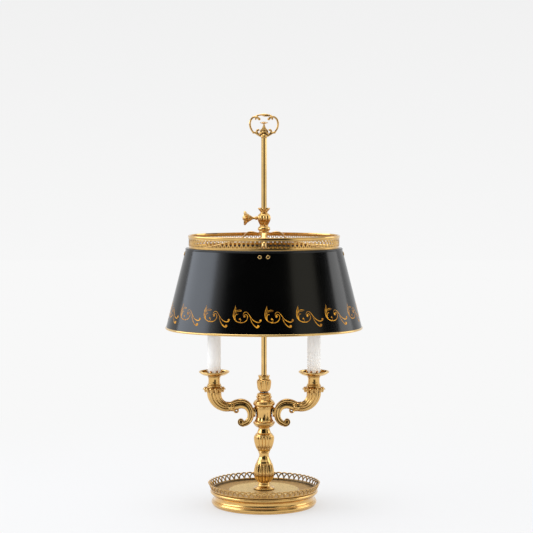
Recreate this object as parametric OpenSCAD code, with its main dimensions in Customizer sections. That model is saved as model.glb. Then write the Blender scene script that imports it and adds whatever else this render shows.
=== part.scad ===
// Bouillotte lamp: two candle lights on a reeded column, under an oval metal
// shade that slides and turns on a plain rod. Millimetres, +Z up, +X to the
// right, -Y to the front. The origin is the middle of the foot's underside.

/* [Overall] */
// Height of the whole lamp, from the table to the top of the ring handle
lamp_h = 660; // [560:5:800]

/* [Foot] */
// Radius of the foot's widest lip
foot_r = 91; // [76:1:110]
// Height of the tray floor above the table
foot_h = 26.5; // [22:0.5:34]
// Wall of the cast foot
foot_wall = 4; // [3:0.5:6]
// Radius of the chased plate let into the tray floor
plate_r = 58.5; // [40:0.5:64]
// Depth of the recess that the plate lies in
plate_recess = 1.5; // [0.8:0.1:2]
// Thickness of the chased plate
plate_t = 1.8; // [1:0.1:2.4]
// Thickness of the felt under the foot
felt_t = 1.5; // [1:0.5:3]
// Bore of the insulating bushing that the cord would come out of
inlet_bore = 7; // [5:0.5:8]

/* [Foot gallery] */
// Height of the gallery above the tray floor
foot_gallery_h = 12.5; // [8:0.5:16]
// Number of interlaced arches round the foot
foot_arches = 56; // [40:2:64]
// Width of each arch's strap
foot_strap = 2.2; // [1.5:0.1:2.4]
// How far the gallery leans out, in degrees
foot_lean = 24; // [0:1:30]

/* [Column] */
// Outside diameter of the threaded stem pipe
pipe_d = 9.6; // [8:0.1:11.4]
// Bore of the stem pipe
pipe_bore = 6.2; // [4:0.1:7]
// Height of the foot vase
foot_vase_h = 61.4; // [50:0.2:75]
// Height of the knop ring above the foot vase
knop_h = 4.2; // [3:0.1:6]
// Height of the middle vase
mid_vase_h = 39.6; // [32:0.2:50]
// Height of the arm hub
hub_h = 48; // [40:0.5:58]
// Height of the top vase
top_vase_h = 41; // [34:0.5:50]
// Number of reeds round the two vases
reeds = 16; // [12:1:20]
// Depth of the grooves between the reeds
reed_depth = 0.9; // [0.5:0.1:1.3]
// Width of the grooves between the reeds
groove_w = 1.2; // [0.8:0.1:1.6]

/* [Rod] */
// Diameter of the rod that the shade slides on
rod_d = 9.5; // [8:0.1:11]
// Clearance on the radius between a shaft and its bore
running_gap = 0.08; // [0.04:0.01:0.1]

/* [Arms] */
// Distance from the rod to each candle
arm_reach = 84; // [76:1:100]
// Radius of the bend below the candle
arm_bend = 24; // [20:0.5:28]
// Depth of the scroll, front to back
scroll_depth = 11; // [9:0.5:14]
// Height of the arm's level run above the hub's bottom
arm_rise = 34.5; // [30:0.5:38]

/* [Candles] */
// Radius of the petalled leaf ring
leaf_r = 19; // [16:0.5:22]
// Height of the turned candle cup
cup_h = 19.5; // [16:0.5:25]
// Radius of the drip pan
pan_r = 26; // [22:0.5:30]
// Outside diameter of the candle sleeve
sleeve_d = 22.3; // [20:0.1:24]
// Wall of the candle sleeve
sleeve_wall = 1.1; // [0.8:0.1:1.6]
// Height of the candle sleeve
sleeve_h = 101.6; // [76:0.2:108]
// Diameter of the bulb
bulb_d = 30; // [25:1:33]
// Length of the bulb above its cap
bulb_h = 66; // [50:1:70]

/* [Shade] */
// Half length of the shade at its top edge
shade_a = 130.5; // [124:0.5:150]
// Half width of the shade at its top edge
shade_b = 93; // [86:0.5:105]
// How far each side spreads from the top edge to the bottom edge
shade_flare = 35.5; // [28:0.5:45]
// Height of the shade body
shade_h = 134.5; // [120:0.5:150]
// Thickness of the shade's sheet
sheet_t = 0.8; // [0.6:0.1:1.4]
// Diameter of the brass bead round the bottom edge
bead_d = 4.2; // [3.4:0.1:5]
// Height of the shade's top edge above the table
shade_top = 436; // [425:1:450]

/* [Shade gallery] */
// Height of the gallery
gallery_h = 20.5; // [15:0.5:25]
// How far the gallery stands in from the shade's top edge
gallery_inset = 4.2; // [3.5:0.1:6]
// Number of pierced cells round the gallery
gallery_cells = 92; // [72:4:100]
// Thickness of the gallery strip
gallery_t = 1.2; // [0.9:0.1:1.6]
// Width of the crossed straps of the gallery's lattice
lattice_w = 1.3; // [1:0.1:1.8]
// Diameter of the roll along the gallery's top
roll_d = 3.2; // [2.6:0.1:4]

/* [Spider] */
// Width of each strap arm
strap_w = 8; // [6:0.5:10]
// Thickness of each strap arm
strap_t = 2.4; // [2:0.1:3]
// Height of each strap's hump above the shade's top edge
hump_h = 27.8; // [24:0.1:32]
// Distance between a strap's two rivets
rivet_pitch = 13.4; // [10:0.2:16]
// Diameter of the rivet heads
rivet_d = 6; // [5:0.2:7]

/* [Collar] */
// Height of the sliding collar, from the spider's hub to its lip
collar_h = 41; // [36:0.5:48]
// Largest radius of the collar's ball
collar_r = 11.1; // [10:0.1:13]
// Diameter of the thumbscrew's shank
screw_d = 5; // [4:0.1:6]
// Diameter of the thumbscrew's thistle head
thistle_d = 23; // [18:0.5:27]
// Length of the thumbscrew outside the collar
screw_reach = 24.7; // [20:0.1:30]

/* [Ring handle] */
// Width of the ring
ring_w = 50; // [42:0.5:60]
// Height of the ring
ring_h = 37; // [30:0.5:44]
// Thickness of the ring's wire
ring_wire = 3.4; // [2.6:0.1:4]

/* [Hidden] */

$fn = 96;
eps = 0.01;

// Clearance on the radius of a hole that only guides a fixed piece
fixed_gap = 0.15;
// Gap between two flat faces on pieces that turn on each other
face_gap = 0.1;
// Gap between two curved faces that seat on each other
seat_gap = 0.05;

// Levels up the column
plate_top = foot_h - plate_recess + plate_t;
knop_z = plate_top + foot_vase_h;
mid_z = knop_z + knop_h;
hub_z = mid_z + mid_vase_h;
top_vase_z = hub_z + hub_h;
column_top = top_vase_z + top_vase_h;

// The stem pipe and what is screwed on it
boss_r = 15;
boss_h = 7;
nut_z = foot_h - plate_recess - foot_wall - boss_h;
nut_t = 5;
nut_af = 16;
washer_t = 1.2;
washer_r = 10.5;
pipe_bottom = nut_z - washer_t - nut_t - 1.5;
coupling_h = 22;
coupling_r = max(pipe_d / 2, rod_d / 2 + seat_gap) + 1.8;
coupling_z = top_vase_z + 6;
pipe_top = coupling_z + coupling_h / 2;

// The rod, and the ring handle on its top
handle_h = ring_h + 5;
rod_top = lamp_h - handle_h + 2;
rod_bottom = pipe_top + 0.5;
rod_tap_d = 4;
rod_tap_depth = 12;

// Cord inlet at the back of the foot
inlet_r = inlet_bore / 2;
inlet_wall = 1.5;
inlet_z = felt_t + 7;
inlet_flange = 1.6;

// Arms
arm_z = hub_z + arm_rise;
bend_x = arm_reach - arm_bend;
bend_z = arm_z + arm_bend;
leaf_z = bend_z + 2.5;
leaf_h = 8.5;
screw_z = hub_z + 26;
arm_screw_r = 3;
scroll_x = 16.4;

// Candles
cup_z = leaf_z + leaf_h;
pan_z = cup_z + cup_h;
pan_h = 6.5;
pan_floor = 1.4;
sleeve_z = pan_z + pan_floor;
nipple_r = 4.8;
nipple_bore = 3;
nipple_z = leaf_z - 7;
socket_r = sleeve_d / 2 - sleeve_wall - 1;
socket_z = sleeve_z + 4;
socket_h = sleeve_h - 26;
shell_h = 20;
shell_r = 6.6;
shell_z = socket_z + socket_h;
cap_r = 5.8;
cap_h = 21.8;
cap_tip_r = 2.4;
cap_tip_h = 2;
bulb_z = shell_z + shell_h + 5;

// Shade
lip_w = 2.4;
wall_lean = atan2(shade_flare, shade_h);
// the oval's arcs: their centres, and the angle of each end arc's half
shade_end_x = 1.5 * (shade_a - shade_b);
shade_side_y = 2 * (shade_a - shade_b);
oval_turn = atan2(4, 3);
function end_len(out) = (shade_a - shade_end_x + out) * oval_turn * PI / 180;
function side_len(out) = (shade_b + shade_side_y + out) * (90 - oval_turn) * PI / 180;
shade_bottom = shade_top - shade_h;
gallery_z = shade_top;
gallery_out = -gallery_inset;
gallery_foot_h = 2.6;

// Spider, its hub and the collar that carries it
hub_t = 4.5;
spider_z = shade_top + 21.5;
spider_hub_r = 10.5;
collar_z = spider_z + hub_t + face_gap;
stub_r = rod_d / 2 + 1.6;
clip_t = 1.2;
clip_r = 8.4;
tab_t = 2;
tab_low = 16;
tab_high = 4;
rivet_drop = 10;
wall_gap = 0.3;
screw_z_collar = collar_z + 0.576 * collar_h;

// Point at t between b and c on the curve through a, b, c and d
function through(a, b, c, d, t) = 0.5 * (2 * b + (c - a) * t + (2 * a - 5 * b + 4 * c - d) * t * t
    + (3 * b - a - 3 * c + d) * t * t * t);

// Smooth curve through the points p, with n steps between two of them
function smooth(p, n = 4) = let (m = len(p) - 1) [
    for (i = [0 : m - 1], k = [0 : n - 1])
        through(p[max(i - 1, 0)], p[i], p[i + 1], p[min(i + 2, m)], k / n),
    p[m]];

// Outline [r, z] stretched to height h
function to_height(p, h) = let (k = h / p[len(p) - 1][1]) [for (q = p) [q[0], q[1] * k]];

// Turned piece: the outline's solid, with a straight bore
module turned(outline, h, bore_r) {
    p = to_height(outline, h);
    difference() {
        rotate_extrude() polygon(concat([[0, 0]], p, [[0, h]]));
        translate([0, 0, -1]) cylinder(r = bore_r, h = h + 2);
    }
}

// Grooves cut into a turned piece from its outline, from height low to height
// high, "count" of them all round. They run out at both ends.
module grooves(outline, count, low, high, depth = reed_depth, width = groove_w) {
    p = [for (q = outline) if (q[1] >= low && q[1] <= high) q];
    n = len(p) - 1;
    far = 4 * max([for (q = p) q[0]]);
    for (i = [0 : count - 1]) rotate((i + 0.5) * 360 / count) rotate([90, 0, 0])
        linear_extrude(width, center = true) polygon(concat([[far, p[0][1]]],
            [for (k = [0 : n]) [p[k][0] + (k == 0 || k == n ? eps : -depth), p[k][1]]],
            [[far, p[n][1]]]));
}

// The profile carried round an oval of four arcs drawn on 3-4-5 triangles, so
// that the arcs keep their centres at any distance "out" from the oval a by b
module round_oval(a, b, out = 0) {
    end_x = 1.5 * (a - b);
    side_y = 2 * (a - b);
    reach = 3 * a;
    for (side = [0, 180]) rotate(side) {
        intersection() {
            translate([end_x, 0]) rotate(180) rotate_extrude() translate([a - end_x + out, 0]) children();
            linear_extrude(2 * lamp_h, center = true) polygon([[end_x, 0],
                [end_x + 0.6 * reach, 0.8 * reach], [end_x + reach, 0.8 * reach],
                [end_x + reach, -0.8 * reach], [end_x + 0.6 * reach, -0.8 * reach]]);
        }
        intersection() {
            translate([0, -side_y]) rotate(-90) rotate_extrude() translate([b + side_y + out, 0])
                children();
            linear_extrude(2 * lamp_h, center = true) polygon([[0, -side_y],
                [0.6 * reach, 0.8 * reach - side_y], [-0.6 * reach, 0.8 * reach - side_y]]);
        }
    }
}

// Children's profile round the shade, "out" from its top edge
module round_shade(out = 0) {
    round_oval(shade_a, shade_b, out) children();
}

// One ring of a swept shape: centre [x, z], heading, width, depth, reeds
function ring_points(s, sides, reeds, cut) = [for (i = [0 : sides - 1])
    let (t = 360 * i / sides,
        k = 1 - cut * (0.5 - 0.5 * cos(reeds * t)),
        u = s[3] / 2 * k * cos(t),
        v = -s[4] / 2 * k * sin(t))
    [s[0] - u * sin(s[2]), v, s[1] + u * cos(s[2])]];

// Solid swept through rings [x, z, heading, width, depth], in the XZ plane
module swept(rings, sides = 24, reeds = 0, cut = 0) {
    n = len(rings);
    first = n * sides;
    polyhedron(
        points = concat([for (s = rings) each ring_points(s, sides, reeds, cut)],
            [for (s = [rings[0], rings[n - 1]]) [s[0], 0, s[1]]]),
        faces = [for (i = [0 : sides - 1]) let (k = (i + 1) % sides)
            each concat([[first, i, k], [first + 1, first - sides + k, first - sides + i]],
                [for (j = [0 : n - 2]) let (a = j * sides + i, b = j * sides + k)
                    each [[a, a + sides, b], [b, a + sides, b + sides]]])]);
}

// Heading of a path of points at its point i
function heading(p, i) = let (a = p[max(i - 1, 0)], b = p[min(i + 1, len(p) - 1)])
    atan2(b[1] - a[1], b[0] - a[0]);

// ---- Foot ----

module foot_casting() {
    // mouldings from the felt up: [in from the widest lip, height], with a
    // turned line between one moulding and the next
    mouldings = to_height(concat(
        smooth([[6.5, 0], [4.4, 0.5], [3.4, 1.5]], 2), [[3.8, 1.8]],
        smooth([[3, 2.2], [2.3, 3.7], [2.3, 5.4], [2.9, 7.1]], 3), [[3.4, 7.4]],
        smooth([[3.1, 7.8], [3.6, 8.4], [4.6, 8.8]], 2),
        smooth([[5.4, 9], [6.4, 11.4], [6.5, 13.7], [6.1, 15.6], [5.3, 17]], 3),
        [[4.4, 17.1], [3.2, 18.1], [3.5, 18.4], [1.8, 18.9], [1.5, 19.5], [1.8, 19.7]],
        smooth([[0.6, 20.2], [0, 21.4], [0.1, 22.8], [0.8, 24], [2.2, 25]], 3)),
        foot_h - felt_t);
    outer = [for (q = mouldings) [foot_r - q[0], felt_t + q[1]]];
    under_r = foot_r - 6.5 - foot_wall;
    under_z = foot_h - plate_recess - foot_wall;
    color("goldenrod") difference() {
        rotate_extrude() polygon(concat(outer, [
            [plate_r + 0.8, foot_h - 0.3], [plate_r + fixed_gap, foot_h - 0.3],
            [plate_r + fixed_gap, foot_h - plate_recess],
            [pipe_d / 2 + fixed_gap, foot_h - plate_recess],
            [pipe_d / 2 + fixed_gap, nut_z], [boss_r, nut_z], [boss_r + 2, under_z],
            [under_r - 6, under_z], [under_r, under_z - 5], [under_r, felt_t]]));
        translate([0, foot_r + 1, inlet_z]) rotate([90, 0, 0])
            cylinder(r = inlet_r + inlet_wall + fixed_gap, h = 2 * foot_wall + 10);
    }
}

module tray_plate() {
    color("darkgoldenrod") translate([0, 0, foot_h - plate_recess]) difference() {
        cylinder(r = plate_r, h = plate_t);
        translate([0, 0, -1]) cylinder(r = pipe_d / 2 + fixed_gap, h = plate_t + 2);
    }
}

module foot_felt() {
    color("darkgreen") cylinder(r = foot_r - 6.5, h = felt_t);
}

module cord_bushing() {
    seat_y = foot_r - 2.3;
    color("black") translate([0, seat_y + inlet_flange, inlet_z]) rotate([90, 0, 0])
        difference() {
            union() {
                cylinder(r = inlet_r + 2 * inlet_wall, h = inlet_flange - face_gap);
                cylinder(r = inlet_r + inlet_wall, h = inlet_flange + foot_wall + 6);
            }
            translate([0, 0, -1]) cylinder(r = inlet_r, h = inlet_flange + foot_wall + 8);
        }
}

// Openings between interlaced arches: w apart, standing on a rail as wide as
// their strap, h high in all. "which" is the pointed cell between two arches,
// the cell under one arch, or the notch above two arches.
module arch_cell(which, w, h, strap) {
    arch_r = h - strap;
    inner_r = arch_r - strap / 2;
    outer_r = arch_r + strap / 2;
    translate([0, strap / 2]) difference() {
        translate([-w / 2, which == "notch" ? 0 : strap / 2])
            square([w, which == "notch" ? 2 * h : h]);
        if (which == "pointed") for (s = [-1, 1]) difference() {
            translate([-2 * h, -h]) square([4 * h, 3 * h]);
            translate([s * w / 2, 0]) circle(r = inner_r);
        }
        if (which == "under") {
            difference() {
                translate([-2 * h, -h]) square([4 * h, 3 * h]);
                circle(r = inner_r);
            }
            for (s = [-1, 1]) translate([s * w, 0]) circle(r = outer_r);
        }
        if (which == "notch") for (s = [-1, 1]) translate([s * w / 2, 0]) circle(r = outer_r);
    }
}

module foot_gallery() {
    strip_r = foot_r - 2.9;
    step = 360 / foot_arches;
    w = 2 * strip_r * tan(step / 2);
    crest = 0.15;
    half_t = foot_strap / 2;
    top = (foot_gallery_h - crest) * [sin(foot_lean), cos(foot_lean)];
    across = half_t * [cos(foot_lean), -sin(foot_lean)];
    color("gold") difference() {
        translate([0, 0, foot_h + seat_gap]) rotate_extrude() polygon([
            [strip_r - half_t / cos(foot_lean), 0], [strip_r + half_t / cos(foot_lean), 0],
            [strip_r + top[0] + across[0], top[1] + across[1]],
            [strip_r + top[0] - across[0], top[1] - across[1]]]);
        for (i = [0 : foot_arches - 1]) {
            rotate((i + 0.5) * step) foot_opening(strip_r) {
                arch_cell("pointed", w, foot_gallery_h, foot_strap);
                arch_cell("notch", w, foot_gallery_h, foot_strap);
            }
            rotate(i * step) foot_opening(strip_r)
                arch_cell("under", w, foot_gallery_h, foot_strap);
        }
    }
}

// Children's opening through the leaning strip of the foot gallery
module foot_opening(strip_r) {
    translate([strip_r, 0, foot_h]) rotate([90, 0, 90]) rotate([foot_lean, 0, 0])
        linear_extrude(3 * foot_strap, center = true) children();
}

// ---- Column ----

module stem_pipe() {
    color("silver") translate([0, 0, pipe_bottom]) difference() {
        cylinder(d = pipe_d, h = pipe_top - pipe_bottom);
        translate([0, 0, -1]) cylinder(d = pipe_bore, h = pipe_top - pipe_bottom + 2);
    }
}

module stem_washer() {
    color("silver") translate([0, 0, nut_z - washer_t]) difference() {
        cylinder(r = washer_r, h = washer_t);
        translate([0, 0, -1]) cylinder(r = pipe_d / 2 + fixed_gap, h = washer_t + 2);
    }
}

module stem_nut() {
    color("silver") translate([0, 0, nut_z - washer_t - nut_t]) difference() {
        cylinder(d = nut_af / cos(30), h = nut_t, $fn = 6);
        translate([0, 0, -1]) cylinder(r = pipe_d / 2 + running_gap, h = nut_t + 2);
    }
}

module foot_vase() {
    outline = to_height(concat(
        [[16.8, 0], [17.9, 1.1], [17.9, 2.6], [16.4, 3.6]],
        smooth([[14.6, 4], [11.2, 7], [9.9, 10.5], [10.3, 13.5], [12.9, 18.2], [15.6, 23.5], [16.8, 29.5],
            [16.9, 34.5], [15.6, 39.4], [13.4, 46], [11.4, 49.6]], 3),
        [[9.6, 51], [10.3, 52], [9.4, 53], [8.4, 54], [8.2, 58], [8.6, 61.4]]), foot_vase_h);
    color("goldenrod") translate([0, 0, plate_top]) difference() {
        turned(outline, foot_vase_h, pipe_d / 2 + fixed_gap);
        grooves(outline, reeds, 0.28 * foot_vase_h, 0.78 * foot_vase_h);
    }
}

module knop_ring() {
    color("gold") translate([0, 0, knop_z]) turned(concat(
        smooth([[8.8, 0], [10.3, 1.1], [10.5, 2.2], [9.4, 4.2]], 3)), knop_h, pipe_d / 2 + fixed_gap);
}

module middle_vase() {
    outline = to_height(concat(
        smooth([[9.4, 0], [12.4, 2.6], [14.5, 6], [15.9, 10.8], [16.8, 16.6], [16.9, 23.4], [16, 27.6],
            [14.6, 30]], 3),
        [[12.2, 31.2], [12.4, 32.4], [10.4, 33.8]],
        smooth([[10.1, 34.6], [9.9, 36.6], [10.6, 39.6]], 2)), mid_vase_h);
    color("goldenrod") translate([0, 0, mid_z]) difference() {
        turned(outline, mid_vase_h, pipe_d / 2 + fixed_gap);
        grooves(outline, reeds, 0.05 * mid_vase_h, 0.72 * mid_vase_h);
    }
}

// Outline of the arm hub, which the arms' pads are cut to
hub_outline = to_height(concat(
    smooth([[11, 0], [13.6, 1.2], [16.8, 4.8], [18.2, 7.2]], 2),
    [[18.4, 8], [18.4, 9.6], [16.6, 10.2]],
    smooth([[16, 11.2], [14.3, 17], [13.5, 26], [14.2, 34], [15.2, 38]], 3),
    [[17.6, 39.2], [18.5, 40.4], [18.3, 42.6], [16.6, 44.4], [13.4, 46.4], [12.4, 48]]), hub_h);

module arm_hub() {
    chamber_r = pipe_d / 2 + 4;
    chamber_low = 15;
    chamber_h = 20;
    color("goldenrod") translate([0, 0, hub_z]) difference() {
        turned(hub_outline, hub_h, pipe_d / 2 + fixed_gap);
        translate([0, 0, chamber_low]) cylinder(r = chamber_r, h = chamber_h);
        for (side = [0, 180]) rotate(side) translate([0, 0, screw_z - hub_z]) rotate([0, 90, 0])
            cylinder(r = arm_screw_r + running_gap, h = 2 * chamber_r);
    }
}

module top_vase() {
    outline = to_height(concat(
        smooth([[12.4, 0], [13.4, 4], [12.6, 8.2]], 3),
        [[11.4, 9.6], [9.6, 11.4], [8.8, 13.4]],
        smooth([[9.4, 14.6], [10.5, 17.4], [11.7, 21.6], [12.5, 26.4], [12.4, 31], [11.7, 34]], 3),
        [[9.6, 35.8], [9.1, 37], [9.3, 39.8], [8.9, 41]]), top_vase_h);
    color("goldenrod") translate([0, 0, top_vase_z]) difference() {
        turned(outline, top_vase_h, rod_d / 2 + fixed_gap);
        grooves(outline, reeds - 2, 0.38 * top_vase_h, 0.8 * top_vase_h);
        translate([0, 0, -1]) cylinder(r = coupling_r + fixed_gap, h = coupling_z - top_vase_z
            + coupling_h + 1.2);
    }
}

module rod_coupling() {
    color("silver") translate([0, 0, coupling_z]) difference() {
        cylinder(r = coupling_r, h = coupling_h);
        // bored for the pipe below and for the rod above
        translate([0, 0, -1]) cylinder(r = pipe_d / 2 + running_gap, h = coupling_h / 2 + 1.25);
        translate([0, 0, coupling_h / 2 + 0.25 - eps])
            cylinder(r = rod_d / 2 + seat_gap + running_gap, h = coupling_h);
    }
}

// ---- Rod and ring handle ----

module rod() {
    color("gold") translate([0, 0, rod_bottom]) difference() {
        cylinder(d = rod_d, h = rod_top - rod_bottom);
        translate([0, 0, rod_top - rod_bottom - rod_tap_depth])
            cylinder(d = rod_tap_d, h = rod_tap_depth + 1);
    }
}

// Curl of wire in the ring's plane: centre, radius, start and sweep, with a
// ball at its far end
module curl(x, z, r, start, sweep, wire, ball) {
    translate([x, 0, z]) rotate([90, 0, 0]) {
        rotate(start) rotate_extrude(angle = sweep) translate([r, 0]) circle(d = wire, $fn = 24);
        rotate(start + sweep) translate([r, 0]) sphere(d = ball, $fn = 24);
    }
}

module ring_handle() {
    ring_z = lamp_h - ring_h / 2;
    a = ring_w / 2 - ring_wire / 2;
    b = ring_h / 2 - ring_wire / 2;
    knuckle_x = 0.46 * ring_w / 2;
    knuckle_z = ring_z + b * sqrt(1 - pow(knuckle_x / a, 2));
    scroll_x = 9.5;
    color("gold") {
        // screw into the rod, seat, baluster and flat flower cap
        translate([0, 0, rod_top]) rotate_extrude() polygon(concat(
            [[0, 1 - rod_tap_depth], [rod_tap_d / 2 - running_gap, 1 - rod_tap_depth],
                [rod_tap_d / 2 - running_gap, 0], [rod_d / 2, 0], [7, 2.4], [6.4, 4.4], [5.2, 6]],
            smooth([[5, 8], [5.6, 11], [4, 15], [1.7, 18.6], [1.4, 21.6]], 3),
            [[3.4, 22.8], [7.5, 24.2], [3, 25.6], [1.6, 26.8], [0, 27.2]]));
        translate([0, 0, ring_z]) rotate([90, 0, 0]) round_oval(a, b) circle(d = ring_wire, $fn = 32);
        for (side = [0, 180]) rotate(side) {
            // knuckle, inward curl and bud below the top
            translate([knuckle_x, 0, knuckle_z]) sphere(d = 4.6, $fn = 24);
            curl(knuckle_x - 0.9, knuckle_z - 4, 3.2, 60, 160, 2.2, 3.2);
            translate([knuckle_x + 2.8, 0, knuckle_z - 3.6]) sphere(d = 3.2, $fn = 24);
            // scroll beside the baluster
            curl(scroll_x, rod_top + 9.9, 2.8, -60, 250, 2.2, 3);
        }
        // leaf at the top
        translate([0, 0, lamp_h - 2.1]) scale([7, 2.6, 2.1]) sphere(r = 1, $fn = 32);
    }
}

// ---- Arms, drawn on the right and turned round for the left ----

module on_side(side) {
    rotate(side == "left" ? 180 : 0) children();
}

module arm(side) {
    horn = [for (k = [0 : 10]) let (t = -9 * k, w = 24.4 - 1.08 * k)
        [bend_x + arm_bend * cos(t), bend_z + arm_bend * sin(t), t - 90, w, w]];
    // the horn's level end, from the bend in to the leaf wrap
    run = [for (k = [1 : 3]) [bend_x - 2 * k, arm_z, 180, 13.6 + 0.2 * k, 13.6 + 0.1 * k]];
    top_z = arm_z + 7.5;
    path = smooth([[scroll_x + 39.6, arm_z + 2.4], [scroll_x + 30.6, top_z], [scroll_x + 21.6, top_z + 0.5],
        [scroll_x + 13.1, top_z - 4], [scroll_x + 7.6, top_z - 11], [scroll_x + 5.9, top_z - 17.4],
        [scroll_x + 7.4, top_z - 25.4], [scroll_x + 11.8, top_z - 31.8],
        [scroll_x + 17.8, top_z - 35.2]], 3);
    n = len(path) - 1;
    scroll = [for (i = [0 : n]) let (w = 14 - 5.6 * pow(i / n, 1.5))
        [path[i][0], path[i][1], heading(path, i), w, scroll_depth - 2 * pow(i / n, 2)]];
    color("goldenrod") on_side(side) difference() {
        union() {
            translate([arm_reach, 0, bend_z - eps]) cylinder(r = 12.2, h = leaf_z - bend_z + eps);
            swept(concat(horn, run), 32, 16, 0.09);
            swept(scroll, 24, 2, 0.36);
            // leaf wrap over the join
            translate([bend_x - 8.5, 0, arm_z + 1.4]) rotate([0, 90, 0])
                rotate_extrude() polygon([[0, 0], [6.6, 0], [8.4, 2], [8.6, 4], [7, 6.5], [0, 6.5]]);
            // volute, and the small curl under the wrap
            translate([scroll_x + 21.4, scroll_depth / 2 - 0.5, top_z - 31.4]) rotate([90, 0, 0])
                cylinder(r = 6.2, h = scroll_depth - 1);
            translate([scroll_x + 29.4, scroll_depth / 2 - 1.5, top_z - 11.6]) rotate([90, 0, 0])
                cylinder(r = 4.9, h = scroll_depth - 3);
            // pad that meets the hub
            translate([11, 0, screw_z]) rotate([0, 90, 0]) cylinder(r = 8.5, h = 9);
        }
        translate([0, 0, hub_z]) rotate_extrude() polygon(concat([[0, 0]],
            [for (q = hub_outline) [q[0] + seat_gap, q[1]]], [[0, hub_h]]));
        translate([0, 0, screw_z]) rotate([0, 90, 0])
            cylinder(r = arm_screw_r + running_gap, h = scroll_x + 8);
        translate([arm_reach, 0, nipple_z - 1]) cylinder(r = nipple_r + running_gap, h = 40);
    }
}

module arm_screw(side) {
    color("silver") on_side(side) translate([pipe_d / 2 + 1.2, 0, screw_z]) rotate([0, 90, 0])
        cylinder(r = arm_screw_r, h = scroll_x + 7 - pipe_d / 2 - 1.2);
}

// ---- Candle fittings, drawn on the rod's axis and moved out ----

module at_candle(side) {
    on_side(side) translate([arm_reach, 0, 0]) children();
}

module leaf_ring(side) {
    petals = 12;
    color("gold") at_candle(side) translate([0, 0, leaf_z]) difference() {
        union() {
            rotate_extrude() polygon([[0, 0], [11.9, 0], [leaf_r - 2.6, 4.4], [leaf_r - 2, 6],
                [leaf_r - 3, 7], [12.6, 7.4], [11.6, leaf_h], [0, leaf_h]]);
            for (i = [0 : petals - 1]) rotate(360 * (i + 0.5) / petals)
                translate([leaf_r - 3.4, 0, 5]) sphere(r = 3.3, $fn = 24);
        }
        translate([0, 0, -1]) cylinder(r = nipple_r + fixed_gap, h = leaf_h + 6);
        translate([0, 0, leaf_h]) cylinder(r = leaf_r + 4, h = 6);
    }
}

module candle_cup(side) {
    color("goldenrod") at_candle(side) translate([0, 0, cup_z]) turned(concat(
        smooth([[11.4, 0], [12, 1.2], [10.8, 3], [9.4, 6.6], [8.7, 10.6], [8.9, 14], [10.2, 16.6]], 3),
        [[13.6, 18.4], [18.4, 19.5]]), cup_h, nipple_r + fixed_gap);
}

module drip_pan(side) {
    color("gold") at_candle(side) translate([0, 0, pan_z]) difference() {
        rotate_extrude() polygon(concat([[0, 0], [19, 0]],
            smooth([[21.5, 1], [pan_r - 1.4, 3.6], [pan_r, 5.4], [pan_r - 0.5, pan_h]], 3),
            smooth([[pan_r - 1.6, pan_h - 0.2], [pan_r - 3.2, 4], [20, pan_floor + 0.4]], 2),
            [[sleeve_d / 2 + 2, pan_floor], [0, pan_floor]]));
        translate([0, 0, -1]) cylinder(r = nipple_r + fixed_gap, h = pan_floor + 2);
    }
}

module nipple(side) {
    color("silver") at_candle(side) translate([0, 0, nipple_z]) difference() {
        cylinder(r = nipple_r, h = socket_z + 6 - nipple_z);
        translate([0, 0, -1]) cylinder(r = nipple_bore, h = socket_z + 8 - nipple_z);
    }
}

module socket(side) {
    color("ivory") at_candle(side) translate([0, 0, socket_z]) difference() {
        union() {
            cylinder(r = socket_r, h = 12);
            cylinder(r = socket_r - 1.4, h = socket_h + shell_h);
        }
        translate([0, 0, -1]) cylinder(r = nipple_r + fixed_gap, h = 8);
        translate([0, 0, socket_h]) cylinder(r = shell_r + 0.5 + fixed_gap, h = shell_h + 1);
    }
}

module socket_shell(side) {
    color("gold") at_candle(side) translate([0, 0, shell_z]) difference() {
        cylinder(r = shell_r + 0.5, h = shell_h);
        translate([0, 0, 1]) cylinder(r = shell_r, h = shell_h);
    }
}

module candle_sleeve(side) {
    color("ivory") at_candle(side) translate([0, 0, sleeve_z]) difference() {
        cylinder(d = sleeve_d, h = sleeve_h);
        translate([0, 0, -1]) cylinder(d = sleeve_d - 2 * sleeve_wall, h = sleeve_h + 2);
    }
}

module bulb_cap(side) {
    color("silver") at_candle(side) translate([0, 0, bulb_z - cap_h]) union() {
        translate([0, 0, -cap_tip_h]) cylinder(r = cap_tip_r, h = cap_tip_h + 1);
        cylinder(r = cap_r, h = cap_h);
    }
}

module bulb(side) {
    r = bulb_d / 2;
    color("white", 0.6) at_candle(side) translate([0, 0, bulb_z]) rotate_extrude()
        polygon(concat([[0, 0]], to_height(
            smooth([[cap_r, 0], [cap_r + 0.8, 4], [r * 0.72, 11], [r * 0.97, 20], [r, 27],
                [r * 0.9, 38], [r * 0.62, 50], [r * 0.3, 60], [1.5, 65.4], [0, 66]], 3), bulb_h)));
}

// ---- Collar and thumbscrew ----

module slider_collar() {
    color("goldenrod") translate([0, 0, collar_z]) difference() {
        union() {
            rotate_extrude() polygon(concat([[0, 0]], to_height(concat(
                [[8.1, 0], [8.4, 0.8], [8.1, 2]],
                smooth([[9.2, 2.8], [10.3, 5.6], [9.6, 8], [7.6, 10.2]], 2),
                smooth([[7.4, 11.4], [8.8, 15], [collar_r - 0.8, 19], [collar_r, 23.6],
                    [collar_r - 0.6, 27.4], [9.2, 30.6], [7.4, 32.6]], 3),
                [[6.9, 34], [7.5, 36.2], [9.3, 38.6], [10.2, 40.2], [9.8, 41]]), collar_h),
                [[0, collar_h]]));
            translate([0, 0, -hub_t - 2 * face_gap - clip_t]) cylinder(r = stub_r,
                h = hub_t + 2 * face_gap + clip_t + 1);
        }
        translate([0, 0, -collar_h]) cylinder(r = rod_d / 2 + running_gap, h = 3 * collar_h);
        translate([0, 0, screw_z_collar - collar_z]) rotate([0, -90, 0])
            cylinder(r = screw_d / 2 + running_gap, h = 2 * collar_r);
    }
}

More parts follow.
